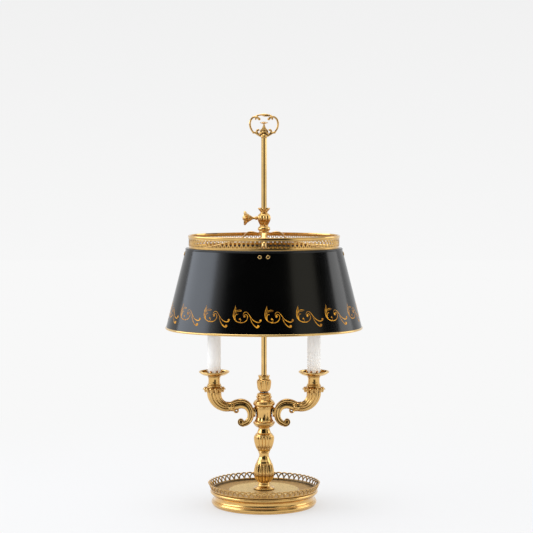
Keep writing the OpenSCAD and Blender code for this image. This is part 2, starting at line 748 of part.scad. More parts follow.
module spider_clip() {
    color("goldenrod") translate([0, 0, spider_z - face_gap - clip_t]) difference() {
        cylinder(r = clip_r, h = clip_t);
        translate([0, 0, -1]) cylinder(r = stub_r + seat_gap, h = clip_t + 2);
    }
}

module thumbscrew() {
    r = thistle_d / 2;
    tip_x = rod_d / 2 + 0.2;
    neck_x = collar_r + 0.3 - tip_x;
    end_x = collar_r + screw_reach - tip_x;
    head = [[3, end_x - 14.8], [4.9, end_x - 12.6], [6.8, end_x - 9], [8.6, end_x - 7],
        [r, end_x - 5], [r, end_x - 3.4]];
    color("goldenrod") translate([-tip_x, 0, screw_z_collar]) rotate([0, -90, 0])
        difference() {
            rotate_extrude() polygon(concat([[0, 0], [screw_d / 2, 0], [screw_d / 2, neck_x],
                [3, neck_x + 1], [3, neck_x + 2.6], [2, neck_x + 3.8], [2, neck_x + 6]], head,
                [[r - 1.4, end_x - 2.8], [3.2, end_x - 3.2], [3.2, end_x - 1], [2.2, end_x],
                [0, end_x]]));
            grooves(head, 10, end_x - 13, end_x - 3.4, 0.8, 0.9);
        }
}

// ---- Spider and shade ----

// Strap from the hub over its hump and down to the shade's wall, whose inner
// face is "reach" out at the shade's top edge
module strap(reach) {
    top = spider_z + hub_t / 2;
    lean = shade_flare / shade_h;
    foot_x = reach - tab_t / 2 - strap_t / 2;
    centre = smooth([[spider_hub_r - 2, top], [13.5, top + 1.4], [21, shade_top + hump_h - strap_t / 2],
        [29, top + 0.8], [39, top - 8], [0.5 * reach + 14, shade_top + 4],
        [reach - 12, shade_top - 3], [foot_x - 1.5, shade_top - 5.5],
        [foot_x + 9 * lean, shade_top - 9], [foot_x + tab_low * lean, shade_top - tab_low + 1]], 3);
    n = len(centre) - 1;
    sides = [for (s = [1, -1]) [for (i = [0 : n]) let (h = heading(centre, i))
        centre[i] + s * strap_t / 2 * [-sin(h), cos(h)]]];
    rotate([90, 0, 0]) linear_extrude(strap_w, center = true)
        polygon(concat(sides[0], [for (i = [n : -1 : 0]) sides[1][i]]));
    // tab that lies on the wall and takes the two rivets
    translate([reach, 0, shade_top]) rotate([0, -wall_lean, 0])
        translate([-tab_t, -rivet_pitch / 2 - 4, -tab_low])
            cube([tab_t, rivet_pitch + 8, tab_low - tab_high]);
}

// Washer-shaped hub that turns on the collar's stub
module spider_hub() {
    color("goldenrod") translate([0, 0, spider_z]) difference() {
        cylinder(r = spider_hub_r, h = hub_t);
        translate([0, 0, -1]) cylinder(r = stub_r + running_gap, h = hub_t + 2);
    }
}

// Four straps brazed to the hub
module spider() {
    // how far a flat tab stands off the curved wall, at the ends and at the sides
    end_gap = wall_gap + pow(rivet_pitch / 2 + 4, 2) / (2 * (shade_a - shade_end_x));
    side_gap = wall_gap + pow(rivet_pitch / 2 + 4, 2) / (2 * (shade_b + shade_side_y));
    color("goldenrod") difference() {
        union() {
            for (side = [0, 180]) rotate(side) strap(shade_a - sheet_t - end_gap);
            for (side = [90, 270]) rotate(side) strap(shade_b - sheet_t - side_gap);
        }
        translate([0, 0, spider_z - 1]) cylinder(r = spider_hub_r + seat_gap, h = hub_t + 4);
        at_rivets() cylinder(r = rivet_d / 4 + running_gap, h = 20, center = true);
    }
}

// Children at each of the eight rivets, with +Z out of the shade's wall
module at_rivets() {
    for (k = [0 : 3], s = [-1, 1]) rotate(90 * k)
        translate([k % 2 == 0 ? shade_a : shade_b, s * rivet_pitch / 2, shade_top])
            rotate([0, 90 - wall_lean, 0]) translate([rivet_drop, 0, 0]) children();
}

module spider_rivets() {
    head_t = 0.8;
    shank = sheet_t + tab_t + 2;
    color("gold") at_rivets() difference() {
        union() {
            translate([0, 0, seat_gap]) cylinder(d = rivet_d, h = head_t);
            translate([0, 0, -shank]) cylinder(d = rivet_d / 2, h = shank + seat_gap + eps);
        }
        translate([0, 0, -shank - 1]) cylinder(d = rivet_d / 3, h = shank + head_t + 2);
    }
}

module shade_body() {
    color([0.05, 0.05, 0.05]) difference() {
        translate([0, 0, shade_top]) round_shade() polygon([
            [shade_flare, -shade_h], [0.9, -3.4], [1, -1.4], [0, 0], [-lip_w - gallery_inset, 0],
            [-lip_w - gallery_inset, -sheet_t], [-sheet_t, -sheet_t], [0.9 - sheet_t, -3.4],
            [shade_flare - sheet_t, -shade_h]]);
        at_rivets() cylinder(r = rivet_d / 4 + running_gap, h = 8, center = true);
    }
}

module shade_bead() {
    color("gold") translate([0, 0, shade_bottom]) round_shade(shade_flare - sheet_t / 2)
        translate([0, -bead_d / 2 - eps]) circle(d = bead_d, $fn = 32);
}

module gallery_foot() {
    color("gold") translate([0, 0, gallery_z]) round_shade(gallery_out)
        translate([-gallery_t - 1, 0]) square([gallery_t + 1.6, gallery_foot_h]);
}

// Children at a length s round the shade, "out" from its top edge, starting at
// the middle of the right end, with +X out of the wall
module along_shade(s, out) {
    end = end_len(out);
    side = side_len(out);
    half = 2 * (end + side);
    t = s % half;
    end_r = shade_a - shade_end_x + out;
    side_r = shade_b + shade_side_y + out;
    rotate(s < half ? 0 : 180) {
        if (t < end) translate([shade_end_x, 0]) rotate(t / end * oval_turn)
            translate([end_r, 0]) children();
        else if (t < end + 2 * side) translate([0, -shade_side_y])
            rotate(oval_turn + (t - end) / side * (90 - oval_turn))
                translate([side_r, 0]) children();
        else translate([-shade_end_x, 0]) rotate(180 - (half - t) / end * oval_turn)
            translate([end_r, 0]) children();
    }
}

// Opening between two crossings of the lattice's straps
module lattice_hole(w, h) {
    rotate([90, 0, 90]) linear_extrude(3 * gallery_t, center = true) translate([0, h / 2])
        scale([w - 1.4 * lattice_w, h - 2 * lattice_w]) rotate(45)
            square(sqrt(0.5), center = true);
}

// Half openings under and over a crossing
module lattice_notches(w, h) {
    rotate([90, 0, 90]) linear_extrude(3 * gallery_t, center = true) {
        half_w = w / 2 - 1.2 * lattice_w;
        half_h = h / 2 - 1.8 * lattice_w;
        polygon([[-half_w, lattice_w], [half_w, lattice_w], [0, lattice_w + half_h * 0.86]]);
        polygon([[-half_w, h - lattice_w], [0, h - lattice_w - half_h * 0.86], [half_w, h - lattice_w]]);
    }
}

// Strip pierced to a lattice of crossed straps
module shade_gallery() {
    out = gallery_out - gallery_t / 2;
    cell = 4 * (end_len(out) + side_len(out)) / gallery_cells;
    h = gallery_h - roll_d - gallery_foot_h - seat_gap;
    color("gold") translate([0, 0, gallery_z + gallery_foot_h]) difference() {
        round_shade(gallery_out) translate([-gallery_t, 0]) square([gallery_t, h]);
        for (i = [0 : gallery_cells - 1]) {
            along_shade((i + 0.5) * cell, out) lattice_hole(cell, h);
            along_shade(i * cell, out) lattice_notches(cell, h);
        }
    }
}

module gallery_roll() {
    color("gold") translate([0, 0, gallery_z + gallery_h - roll_d / 2]) round_shade(gallery_out)
        translate([-gallery_t / 2, 0]) circle(d = roll_d, $fn = 32);
}

foot_casting();
tray_plate();
foot_felt();
cord_bushing();
foot_gallery();
stem_pipe();
stem_washer();
stem_nut();
foot_vase();
knop_ring();
middle_vase();
arm_hub();
top_vase();
rod_coupling();
rod();
ring_handle();
arm("left");  // arm_left
arm("right");  // arm_right
arm_screw("left");  // arm_screw_left
arm_screw("right");  // arm_screw_right
leaf_ring("left");  // leaf_ring_left
leaf_ring("right");  // leaf_ring_right
candle_cup("left");  // candle_cup_left
candle_cup("right");  // candle_cup_right
drip_pan("left");  // drip_pan_left
drip_pan("right");  // drip_pan_right
nipple("left");  // nipple_left
nipple("right");  // nipple_right
socket("left");  // socket_left
socket("right");  // socket_right
socket_shell("left");  // socket_shell_left
socket_shell("right");  // socket_shell_right
candle_sleeve("left");  // candle_sleeve_left
candle_sleeve("right");  // candle_sleeve_right
bulb_cap("left");  // bulb_cap_left
bulb_cap("right");  // bulb_cap_right
bulb("left");  // bulb_left
bulb("right");  // bulb_right
slider_collar();
spider_clip();
thumbscrew();
spider_hub();
spider();
spider_rivets();
shade_body();
shade_bead();
shade_gallery();
gallery_foot();
gallery_roll();
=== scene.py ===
"""Bouillotte lamp: cast and polished brass, an oval black tole shade and two
candle lights. Shapes are drawn in millimetres, with the foot's underside at
z = 0, +X to the right-hand candle and -Y to the front."""
import math

import bmesh
import bpy
from mathutils import Matrix, Vector


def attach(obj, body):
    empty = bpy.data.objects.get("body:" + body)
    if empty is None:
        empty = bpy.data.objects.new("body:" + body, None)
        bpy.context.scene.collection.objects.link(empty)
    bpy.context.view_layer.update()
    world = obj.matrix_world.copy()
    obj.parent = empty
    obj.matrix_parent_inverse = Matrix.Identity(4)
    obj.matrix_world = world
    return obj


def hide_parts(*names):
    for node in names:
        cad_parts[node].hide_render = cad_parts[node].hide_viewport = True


MM = 0.001
TAU = 2 * math.pi
MERGE = 2e-6  # points of a mesh closer than this, in metres, are one

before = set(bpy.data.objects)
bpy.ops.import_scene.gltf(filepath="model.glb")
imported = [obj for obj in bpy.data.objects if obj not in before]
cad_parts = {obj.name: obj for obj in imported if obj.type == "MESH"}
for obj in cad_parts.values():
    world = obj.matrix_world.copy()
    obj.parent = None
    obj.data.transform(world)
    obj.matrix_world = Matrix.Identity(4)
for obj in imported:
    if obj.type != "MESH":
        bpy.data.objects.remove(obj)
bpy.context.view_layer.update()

# ---- Sizes, in millimetres ----

FOOT_R = 91.0
FELT_T = 1.5
FOOT_H = 26.5
PLATE_R = 58.5
PLATE_TOP = 26.8
FOOT_ARCHES = 56
FOOT_GALLERY_R = FOOT_R - 2.9
FOOT_GALLERY_H = 12.5
FOOT_STRAP = 2.5
FOOT_LEAN = 24  # degrees
PIPE_R = 4.95

KNOP_Z = 88.2
MID_Z = 92.4
HUB_Z = 132.0
TOP_VASE_Z = 180.0
ROD_R = 4.75
ROD_LOW = 197.5
ROD_TOP = 620.0

CANDLE_X = 84.0
BEND_R = 24.0
ARM_Z = 166.5
BEND_X = CANDLE_X - BEND_R
BEND_Z = ARM_Z + BEND_R
LEAF_Z = 193.0
CUP_Z = 201.5
PAN_Z = 221.0
SLEEVE_Z = 222.4
SLEEVE_R = 11.15
SLEEVE_H = 101.6
BULB_Z = 327.0
BULB_R = 15.0

SHADE_A = 130.5
SHADE_B = 93.0
SHADE_TOP = 436.0
SHADE_BOTTOM = 301.5
SHADE_FLARE = 34.4
LEAN = SHADE_FLARE / (SHADE_TOP - SHADE_BOTTOM)  # out for each millimetre down
SHEET_T = 0.8
BEAD_R = 1.95
GALLERY_IN = 4.2  # the gallery stands so far inside the shade's top edge
GALLERY_TOP = 456.5
RIVET_SIDE = 6.7  # from the middle of a tab to each of its two rivets
RIVET_DROP = 10.0  # from the shade's top edge down its wall
BORDER_Z = 312.4
BORDER_MOTIFS = 17

COLLAR_Z = 462.1
SCREW_Z = 485.716


# ---- Shapes: a list of corners and a list of faces, in millimetres ----

def joined(*shapes):
    """Several shapes as one."""
    verts, faces = [], []
    for shape in shapes:
        first = len(verts)
        verts += shape[0]
        faces += [[first + i for i in face] for face in shape[1]]
    return verts, faces


def moved(shape, matrix):
    """A shape carried by a matrix, with its faces kept outwards."""
    verts = [tuple(matrix @ Vector(v)) for v in shape[0]]
    flip = matrix.to_3x3().determinant() < 0
    return verts, [f[::-1] for f in shape[1]] if flip else shape[1]


def at(x=0, y=0, z=0, turn=0, axis="Z"):
    """Matrix that turns by degrees about an axis and then moves."""
    return Matrix.Translation((x, y, z)) @ Matrix.Rotation(math.radians(turn), 4, axis)


def scaled(x, y, z):
    """Matrix that stretches along the three axes."""
    return Matrix.Diagonal((x, y, z, 1))


def smooth(points, steps=5):
    """Points on a smooth curve through the given points, of any dimension."""
    last = len(points) - 1
    curve = []
    for i in range(last):
        a, b = points[max(i - 1, 0)], points[i]
        c, d = points[i + 1], points[min(i + 2, last)]
        for k in range(steps):
            t = k / steps
            curve.append(tuple(
                0.5 * (2 * q + (r - p) * t + (2 * p - 5 * q + 4 * r - s) * t * t
                       + (3 * q - p - 3 * r + s) * t ** 3)
                for p, q, r, s in zip(a, b, c, d)))
    return curve + [tuple(points[last])]


def raised(outline, z):
    """A profile of (radius, height) points lifted by z."""
    return [(r, h + z) for r, h in outline]


def ring_faces(rings, n):
    """Quads from each of the rings of n points to the next, and on to the first."""
    faces = []
    for j in range(rings):
        k = (j + 1) % rings
        for i in range(n):
            m = (i + 1) % n
            faces.append((j * n + i, k * n + i, k * n + m, j * n + m))
    return faces


def dent(turn, lobes):
    """How deep between two of the lobes round a piece a heading lies, 0 to 1."""
    return 1 - abs(math.cos(lobes / 2 * turn))


def turned(outline, sides=96, radius=None):
    """A solid turned round Z from a closed outline of (radius, height) points.
    radius(r, z, turn) may change each point's radius for ribs and lobes."""
    verts = []
    for j in range(sides):
        turn = TAU * j / sides
        for r, z in outline:
            r = radius(r, z, turn) if radius else r
            verts.append((r * math.cos(turn), r * math.sin(turn), z))
    return verts, ring_faces(sides, len(outline))


def swept(path, section, closed=False):
    """A solid through the points of path. section(i, t) gives the outline's
    (across, up) points at point i, a share t of the way along. "up" starts on
    the side nearest to +Y and is carried along without twist."""
    path = [Vector(p) for p in path]
    n = len(path)
    up = Vector((0, 1, 0))
    verts, faces, rings = [], [], []
    for i, p in enumerate(path):
        before = path[i - 1] if closed or i else p
        after = path[(i + 1) % n] if closed or i < n - 1 else p
        along = (after - before).normalized()
        up = up - along * up.dot(along)
        up = up.normalized() if up.length > 1e-6 else along.orthogonal().normalized()
        across = up.cross(along)
        ring = []
        for u, v in section(i, i / (n - 1)):
            ring.append(len(verts))
            verts.append(tuple(p + across * u + up * v))
        rings.append(ring)
    pairs = list(zip(rings, rings[1:])) + ([(rings[-1], rings[0])] if closed else [])
    for a, b in pairs:
        for i in range(len(a)):
            k = (i + 1) % len(a)
            faces.append((a[i], a[k], b[k], b[i]))
    if not closed:
        for ring, end, turn in ((rings[0], path[0], 1), (rings[-1], path[-1], -1)):
            centre = len(verts)
            verts.append(tuple(end))
            for i in range(len(ring)):
                k = (i + 1) % len(ring)
                faces.append((centre, ring[k], ring[i])[::turn])
    return verts, faces


def round_section(radii, sides=12, flat=1.0):
    """Section of round wire whose radius follows the list along the path."""
    def section(_, t):
        """The wire's outline at a share t of its length."""
        at_t = t * (len(radii) - 1)
        k = min(int(at_t), len(radii) - 2)
        r = radii[k] + (radii[k + 1] - radii[k]) * (at_t - k)
        return [(r * math.cos(TAU * i / sides), r * flat * math.sin(TAU * i / sides))
                for i in range(sides)]
    return section


def wire(path, radii, sides=12, flat=1.0, closed=False):
    """Round or oval wire along a path, with a radius or a list of them."""
    radii = [radii, radii] if isinstance(radii, (int, float)) else radii
    return swept(path, round_section(radii, sides, flat), closed)


def ball(r, place=(0, 0, 0), stretch=(1, 1, 1), sides=20):
    """A ball, or an egg when stretched."""
    half = sides // 2
    arc = [(r * math.sin(math.pi * i / half), -r * math.cos(math.pi * i / half))
           for i in range(half + 1)]
    return moved(turned([(0, -r)] + arc[1:-1] + [(0, r)], sides),
                 Matrix.Translation(place) @ scaled(*stretch))


def leaf(length, width, thick, curl, lobes, steps=8):
    """A pointed leaf that grows along +Z from the origin, faces -Y, and curls
    forward at its tip. Its midrib stands up and its edges are lobed."""
    verts, faces = [], []
    across = (-1, -0.55, 0, 0.55, 1)
    height = (0.1, 0.75, 1, 0.75, 0.1)
    for i in range(steps + 1):
        t = i / steps
        # full soon after the root, drawn in between lobes, and closed at the tip
        spread = width / 2 * math.sin(math.pi * min(1, t * 0.86 + 0.14)) ** 0.8
        spread *= 1 - 0.22 * abs(math.sin(lobes * math.pi * t)) if t < 1 else 0
        y, z = -curl * t * t, length * t
        verts += [(spread * u, y - thick * h, z) for u, h in zip(across, height)]
        verts += [(spread * u, y + thick * 0.25, z) for u in across[::-1]]
    n = 2 * len(across)
    for i in range(steps):
        for k in range(n):
            m = (k + 1) % n
            faces.append((i * n + k, i * n + m, (i + 1) * n + m, (i + 1) * n + k))
    faces.append(tuple(range(n))[::-1])
    return verts, faces


def ring_of(shape, count, radius, start):
    """Copies of a shape round Z; the shape's -Y side faces outwards."""
    return joined(*[
        moved(shape, Matrix.Rotation(start + TAU * i / count, 4, "Z")
              @ at(0, -radius, 0)) for i in range(count)])


# ---- Materials ----

def linear(colour):
    """Linear RGBA of an sRGB hex colour."""
    parts = [int(colour[i:i + 2], 16) / 255 for i in (1, 3, 5)]
    return tuple(c / 12.92 if c <= 0.04045 else ((c + 0.055) / 1.055) ** 2.4
                 for c in parts) + (1.0,)


# kinds of node that come often
MATH = "ShaderNodeMath"
VECTOR_MATH = "ShaderNodeVectorMath"
RANGE = "ShaderNodeMapRange"
NOISE = "ShaderNodeTexNoise"
BUMP = "ShaderNodeBump"
MIX = "ShaderNodeMix"
MIX_SHADER = "ShaderNodeMixShader"
COORDS = "ShaderNodeTexCoord"
SPLIT = "ShaderNodeSeparateXYZ"
JOIN = "ShaderNodeCombineXYZ"
EMISSION = "ShaderNodeEmission"
BACKGROUND = "ShaderNodeBackground"
SMOOTH = "SMOOTHSTEP"
# numbers of a Mix node's two colour inputs and of its colour output
A, B = 6, 7
MIXED = 2


def feed(tree, node, inputs):
    """Gives each named socket of a node a value, another node's output, or another
    node, whose first output it then takes."""
    for name, value in inputs.items():
        if isinstance(value, bpy.types.Node):
            value = value.outputs[0]
        if isinstance(value, bpy.types.NodeSocket):
            tree.links.new(value, node.inputs[name])
        else:
            node.inputs[name].default_value = value


def add(tree, kind, inputs=None, **settings):
    """Adds a node with its settings and feeds its sockets."""
    made = tree.nodes.new(kind)
    for name, value in settings.items():
        setattr(made, name, value)
    feed(tree, made, inputs or {})
    return made


def new_material(name):
    """An empty material with its shader: (material, tree, Principled node)."""
    material = bpy.data.materials.new(name)
    material.use_nodes = True
    tree = material.node_tree
    tree.nodes.clear()
    shader = add(tree, "ShaderNodeBsdfPrincipled")
    add(tree, "ShaderNodeOutputMaterial", {"Surface": shader})
    return material, tree, shader


def to_a_metre(size):
    """Scale of a pattern whose patches are of a size in millimetres: how many of
    them make a metre."""
    return round(1 / (size * MM))


GOLD = "#E8BA6E"
# dark brown for patina and for painted shade on the brass
GOLD_PATINA_AND_SHADE = "#4A3414"


def brass(name, polished, patina_and_shade, rough, depth, under=0.3, grain=0.02, alone=False,
          inner=0.0):
    """Cast brass under clear lacquer: warm mirror-like highlights with brown lines
    between them. Hollows of about "depth" millimetres, and unless "alone" places
    near other parts, are darker: partly antique patina, partly painted shade. By
    the shares "under" and "inner", faces that look down and faces that look to the
    lamp's axis carry painted shade."""
    material, tree, shader = new_material(name)
    coords = add(tree, COORDS).outputs
    # painted shade with patina: darker in hollows, and near other parts unless alone
    hollow = add(tree, "ShaderNodeAmbientOcclusion", {"Distance": depth * MM},
                 samples=12, only_local=alone)
    level = add(tree, RANGE, {"Value": hollow.outputs["AO"], "From Min": 0.3,
                              "From Max": 0.78})
    facing = add(tree, SPLIT, {0: coords["Normal"]}).outputs["Z"]
    # painted shade on faces that look down, and below on faces that look to the axis
    painted_shade_shares = [add(tree, RANGE, {"Value": facing, "From Min": -0.85, "From Max": -0.15,
                                 "To Min": 1 - under, "To Max": 1.0})]
    if inner:
        outward = add(tree, VECTOR_MATH, {0: coords["Normal"], 1: coords["Object"]},
                      operation="DOT_PRODUCT").outputs["Value"]
        painted_shade_shares.append(add(tree, RANGE, {"Value": outward, "From Min": -0.06,
                                         "From Max": -0.03, "To Min": 1 - inner,
                                         "To Max": 1.0}))
    for share in painted_shade_shares:
        level = add(tree, MATH, {0: level, 1: share}, operation="MULTIPLY")
    # clouds of tarnish
    cloud = add(tree, NOISE, {"Vector": coords["Object"], "Scale": to_a_metre(14.3),
                              "Detail": 3.0})
    tarnish = add(tree, RANGE, {"Value": cloud.outputs["Fac"], "From Min": 0.35,
                                "From Max": 0.8, "To Min": 0.0, "To Max": 0.18})
    tone = add(tree, MIX, {"Factor": tarnish, A: linear(polished), B: linear(patina_and_shade)},
               data_type="RGBA")
    # the polished tone, darkened by patina and painted shade where the share is low
    colour = add(tree, MIX, {"Factor": level, A: linear(patina_and_shade),
                             B: tone.outputs[MIXED]}, data_type="RGBA")
    roughness = add(tree, RANGE, {"Value": level, "To Min": min(1, rough + 0.3),
                                  "To Max": rough})
    # the skin left by the sand, drawn as coarse as it needs to show
    fine = add(tree, NOISE, {"Vector": coords["Object"], "Scale": to_a_metre(1.111),
                             "Detail": 2.0})
    bump = add(tree, BUMP, {"Height": fine.outputs["Fac"], "Strength": 0.25,
                            "Distance": grain * MM})
    feed(tree, shader, {"Base Color": colour.outputs[MIXED], "Roughness": roughness,
                        "Normal": bump, "Metallic": 1.0, "Coat Weight": 0.5,
                        "Coat Roughness": 0.1})
    return material


def stippled_brass(name, polished, patina_and_shade, edge=None):
    """Brass plate matted all over with a round-nosed punch, so that it glitters
    instead of mirroring. Real dents are too fine to show, so these are drawn
    coarser, one to about 2 mm; each is darker towards its middle, partly patina
    and partly painted shade. Beyond the radius "edge", in millimetres, it carries
    painted shade."""
    material, tree, shader = new_material(name)
    place = add(tree, COORDS).outputs["Object"]
    dents = add(tree, "ShaderNodeTexVoronoi", {"Vector": place, "Scale": 1 / (2.1 * MM)})
    # patches where the punch went deeper
    cloud = add(tree, NOISE, {"Vector": place, "Scale": to_a_metre(3.85),
                              "Detail": 3.0})
    # each dent darker towards its middle: partly patina, partly painted shade
    depth = add(tree, RANGE, {"Value": dents.outputs["Distance"], "From Min": 0.1,
                              "From Max": 0.75, "To Min": 1.0, "To Max": 0.0})
    colour = add(tree, MIX, {"Factor": depth, A: linear(polished), B: linear(patina_and_shade)},
                 data_type="RGBA")
    tone = add(tree, MIX, {"Factor": cloud.outputs["Fac"], A: colour.outputs[MIXED],
                           B: linear(polished)}, data_type="RGBA")
    # painted shade beyond the radius edge
    if edge:
        flat = add(tree, VECTOR_MATH, {0: place, 1: (1.0, 1.0, 0.0)},
                   operation="MULTIPLY")
        radius = add(tree, VECTOR_MATH, {0: flat}, operation="LENGTH").outputs["Value"]
        out = add(tree, RANGE, {"Value": radius, "From Min": (edge - 5) * MM,
                                "From Max": (edge + 3) * MM, "To Max": 0.75})
        tone = add(tree, MIX, {"Factor": out, A: tone.outputs[MIXED],
                               B: linear(GOLD_PATINA_AND_SHADE)}, data_type="RGBA")
    bump = add(tree, BUMP, {"Height": dents.outputs["Distance"], "Strength": 0.9,
                            "Distance": 0.25 * MM})
    feed(tree, shader, {"Base Color": tone.outputs[MIXED], "Normal": bump,
                        "Metallic": 1.0, "Roughness": 0.5})
    return material


def black_tole():
    """Sheet steel under sprayed black enamel, rubbed to a satin: near black, with
    wide soft reflections. The spray left ripples 4 mm apart, and the rubbing
    cloth patches of 5 cm."""
    material, tree, shader = new_material("satin_black_enamel")
    place = add(tree, COORDS).outputs["Object"]
    ripple = add(tree, NOISE, {"Vector": place, "Scale": to_a_metre(4.17),
                               "Detail": 2.0})
    wear = add(tree, NOISE, {"Vector": place, "Scale": to_a_metre(55.6),
                             "Detail": 4.0})
    rough = add(tree, RANGE, {"Value": wear.outputs["Fac"], "To Min": 0.15,
                              "To Max": 0.22})
    bump = add(tree, BUMP, {"Height": ripple.outputs["Fac"], "Strength": 0.12,
                            "Distance": 0.05 * MM})
    feed(tree, shader, {"Base Color": linear("#010101"), "Roughness": rough,
                        "Normal": bump, "IOR": 1.5})
    return material


def gold_paint():
    """Bronze-powder paint laid by hand over the enamel: warm gold with darker,
    thinner places some 7 mm apart along each stroke."""
    material, tree, shader = new_material("bronze_powder_paint")
    place = add(tree, COORDS).outputs["Object"]
    brush = add(tree, NOISE, {"Vector": place, "Scale": to_a_metre(6.67),
                              "Detail": 4.0})
    share = add(tree, RANGE, {"Value": brush.outputs["Fac"], "From Min": 0.38,
                              "From Max": 0.66})
    colour = add(tree, MIX, {"Factor": share, A: linear("#9A6418"),
                             B: linear("#EFA92A")}, data_type="RGBA")
    feed(tree, shader, {"Base Color": colour.outputs[MIXED], "Roughness": 0.42,
                        "Specular IOR Level": 0.2})
    return material


def plain(name, colour, rough, metallic=0.0, size=2.5, depth=0.03, vary=0.08):
    """A plain finish with a slight grain of a size in millimetres: sleeves, moulded
    plastic, plated steel."""
    material, tree, shader = new_material(name)
    place = add(tree, COORDS).outputs["Object"]
    grain = add(tree, NOISE, {"Vector": place, "Scale": to_a_metre(size),
                              "Detail": 3.0})
    dark = tuple(c * (1 - vary) for c in linear(colour)[:3]) + (1.0,)
    tone = add(tree, MIX, {"Factor": grain.outputs["Fac"], A: dark,
                           B: linear(colour)}, data_type="RGBA")
    bump = add(tree, BUMP, {"Height": grain.outputs["Fac"], "Strength": 0.2,
                            "Distance": depth * MM})
    feed(tree, shader, {"Base Color": tone.outputs[MIXED], "Normal": bump,
                        "Roughness": rough, "Metallic": metallic})
    return material


def clear_glass():
    """Blown soda-lime glass of a clear candle bulb: clear, with sharp reflections."""
    material, tree, shader = new_material("soda_lime_glass")
    feed(tree, shader, {"Base Color": linear("#F6F8F7"), "Transmission Weight": 1.0,
                        "Roughness": 0.02, "IOR": 1.5})
    return material


# castings: deep golden; brown in every line, partly patina, partly painted shade;
# painted shade on faces that look down
cast_brass = brass("antiqued_cast_brass", GOLD, GOLD_PATINA_AND_SHADE, 0.17, 2.6, grain=0.008)
# the foot was buffed on the lathe: softer and wider highlights; no painted shade on
# faces that look down, and hollows darker by its own shape only: patina and painted shade
foot_brass = brass("buffed_cast_brass", GOLD, GOLD_PATINA_AND_SHADE, 0.22, 2.0, 0.0, 0.008, True)
# the gallery's straps: bright outside; nearly black painted shade on faces that look
# to the lamp's axis, on faces that look down and in hollows
gallery_brass = brass("burnished_brass_painted_shade_inside", "#DDAE62", "#1C1206", 0.1, 2.6, 0.6, 0.004,
                      inner=0.85)
# drawn and spun pieces: pale gold and smooth as a mirror, with a little patina and
# painted shade in hollows and a little painted shade on faces that look down
bright_brass = brass("polished_brass", "#EDC47A", "#5A4218", 0.12, 1.2, 0.1, 0.003)
# strip pierced and stamped in a press: a little duller; dark in its corners, partly
# patina and partly painted shade, with painted shade on faces that look down
stamped_brass = brass("stamped_brass_strip", "#E4B86E", "#3A2B12", 0.17, 1.5, 0.4, 0.008)
# matted with a punch: the ring's hollows are darker than the plate's, and the ring
# has painted shade from 76 mm out, beside the gallery
tray_brass = stippled_brass("punched_brass_ring", "#CDA463", "#5E431B", 81)
plate_brass = stippled_brass("punched_brass_plate", "#F2D494", "#836432")
# brushed on inside the shade: matt and yellower than brass
lining_paint = plain("gold_lining_paint", "#C9962F", 0.45, metallic=0.3, size=5)
# near black with wide reflections, and hand-laid gold strokes on it
tole = black_tole()
border_paint = gold_paint()
# waxed card, nearly white
sleeve_card = plain("ivory_card_sleeve", "#FFFDF8", 0.5, size=2, vary=0.02)
# fibres well under 1 mm: dark, and without any shine
felt = plain("green_wool_felt", "#1F3D2A", 0.95, size=0.6667, depth=0.4, vary=0.4)
# pressed in a polished mould: black with a dull gloss
phenolic = plain("moulded_phenolic", "#141313", 0.38, size=3.33)
# plated metals: grey zinc, and warmer and smoother nickel
zinc = plain("zinc_plated_steel", "#B9B9B4", 0.38, metallic=1.0, size=1.25)
nickel = plain("nickel_plated_brass", "#CFC9BC", 0.25, metallic=1.0, size=1.25)
# drawn through a die: a dull grey
tungsten = plain("drawn_tungsten_wire", "#6A6A6C", 0.4, metallic=1.0)
glass = clear_glass()


# ---- Making a piece ----

def shaded(mesh, sharp):
    """Shades a mesh smooth but for its edges above an angle in degrees."""
    mesh.polygons.foreach_set("use_smooth", [True] * len(mesh.polygons))
    mesh.set_sharp_from_angle(angle=math.radians(sharp))


def mesh_of(name, shape, material, sharp=38):
    """A Blender object from a shape, in the scene and with its material."""
    mesh = bpy.data.meshes.new(name)
    verts, faces = shape
    mesh.from_pydata([[c * MM for c in v] for v in verts], [], faces)
    work = bmesh.new()
    work.from_mesh(mesh)
    bmesh.ops.remove_doubles(work, verts=work.verts, dist=MERGE)
    bmesh.ops.recalc_face_normals(work, faces=work.faces)
    work.to_mesh(mesh)
    work.free()
    mesh.materials.append(material)
    shaded(mesh, sharp)
    made = bpy.data.objects.new(name, mesh)
    bpy.context.scene.collection.objects.link(made)
    return made


def placed(piece, body, slot, *nodes):
    """Rides a piece on its body and hides the CAD nodes it stands for. Its slot is not
    used.
    """
    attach(piece, body)
    if nodes:
        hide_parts(*nodes)
    return piece


# ---- Geometry Nodes ----

def new_nodes(name, sockets):
    """A node group for a modifier, with its inputs in the order given."""
    tree = bpy.data.node_groups.new(name, "GeometryNodeTree")
    face = tree.interface
    face.new_socket("Geometry", in_out="INPUT", socket_type="NodeSocketGeometry")
    for label, kind, default in sockets:
        made = face.new_socket(label, in_out="INPUT", socket_type="NodeSocket" + kind)
        if default is not None:
            made.default_value = default
    face.new_socket("Geometry", in_out="OUTPUT", socket_type="NodeSocketGeometry")
    return tree, add(tree, "NodeGroupInput").outputs


def finish_nodes(tree, geometry, material):
    """Ends a tree in Realize Instances and Set Material."""
    real = add(tree, "GeometryNodeRealizeInstances", {"Geometry": geometry})
    coated = add(tree, "GeometryNodeSetMaterial",
                 {"Geometry": real, "Material": material})
    add(tree, "NodeGroupOutput", {"Geometry": coated})


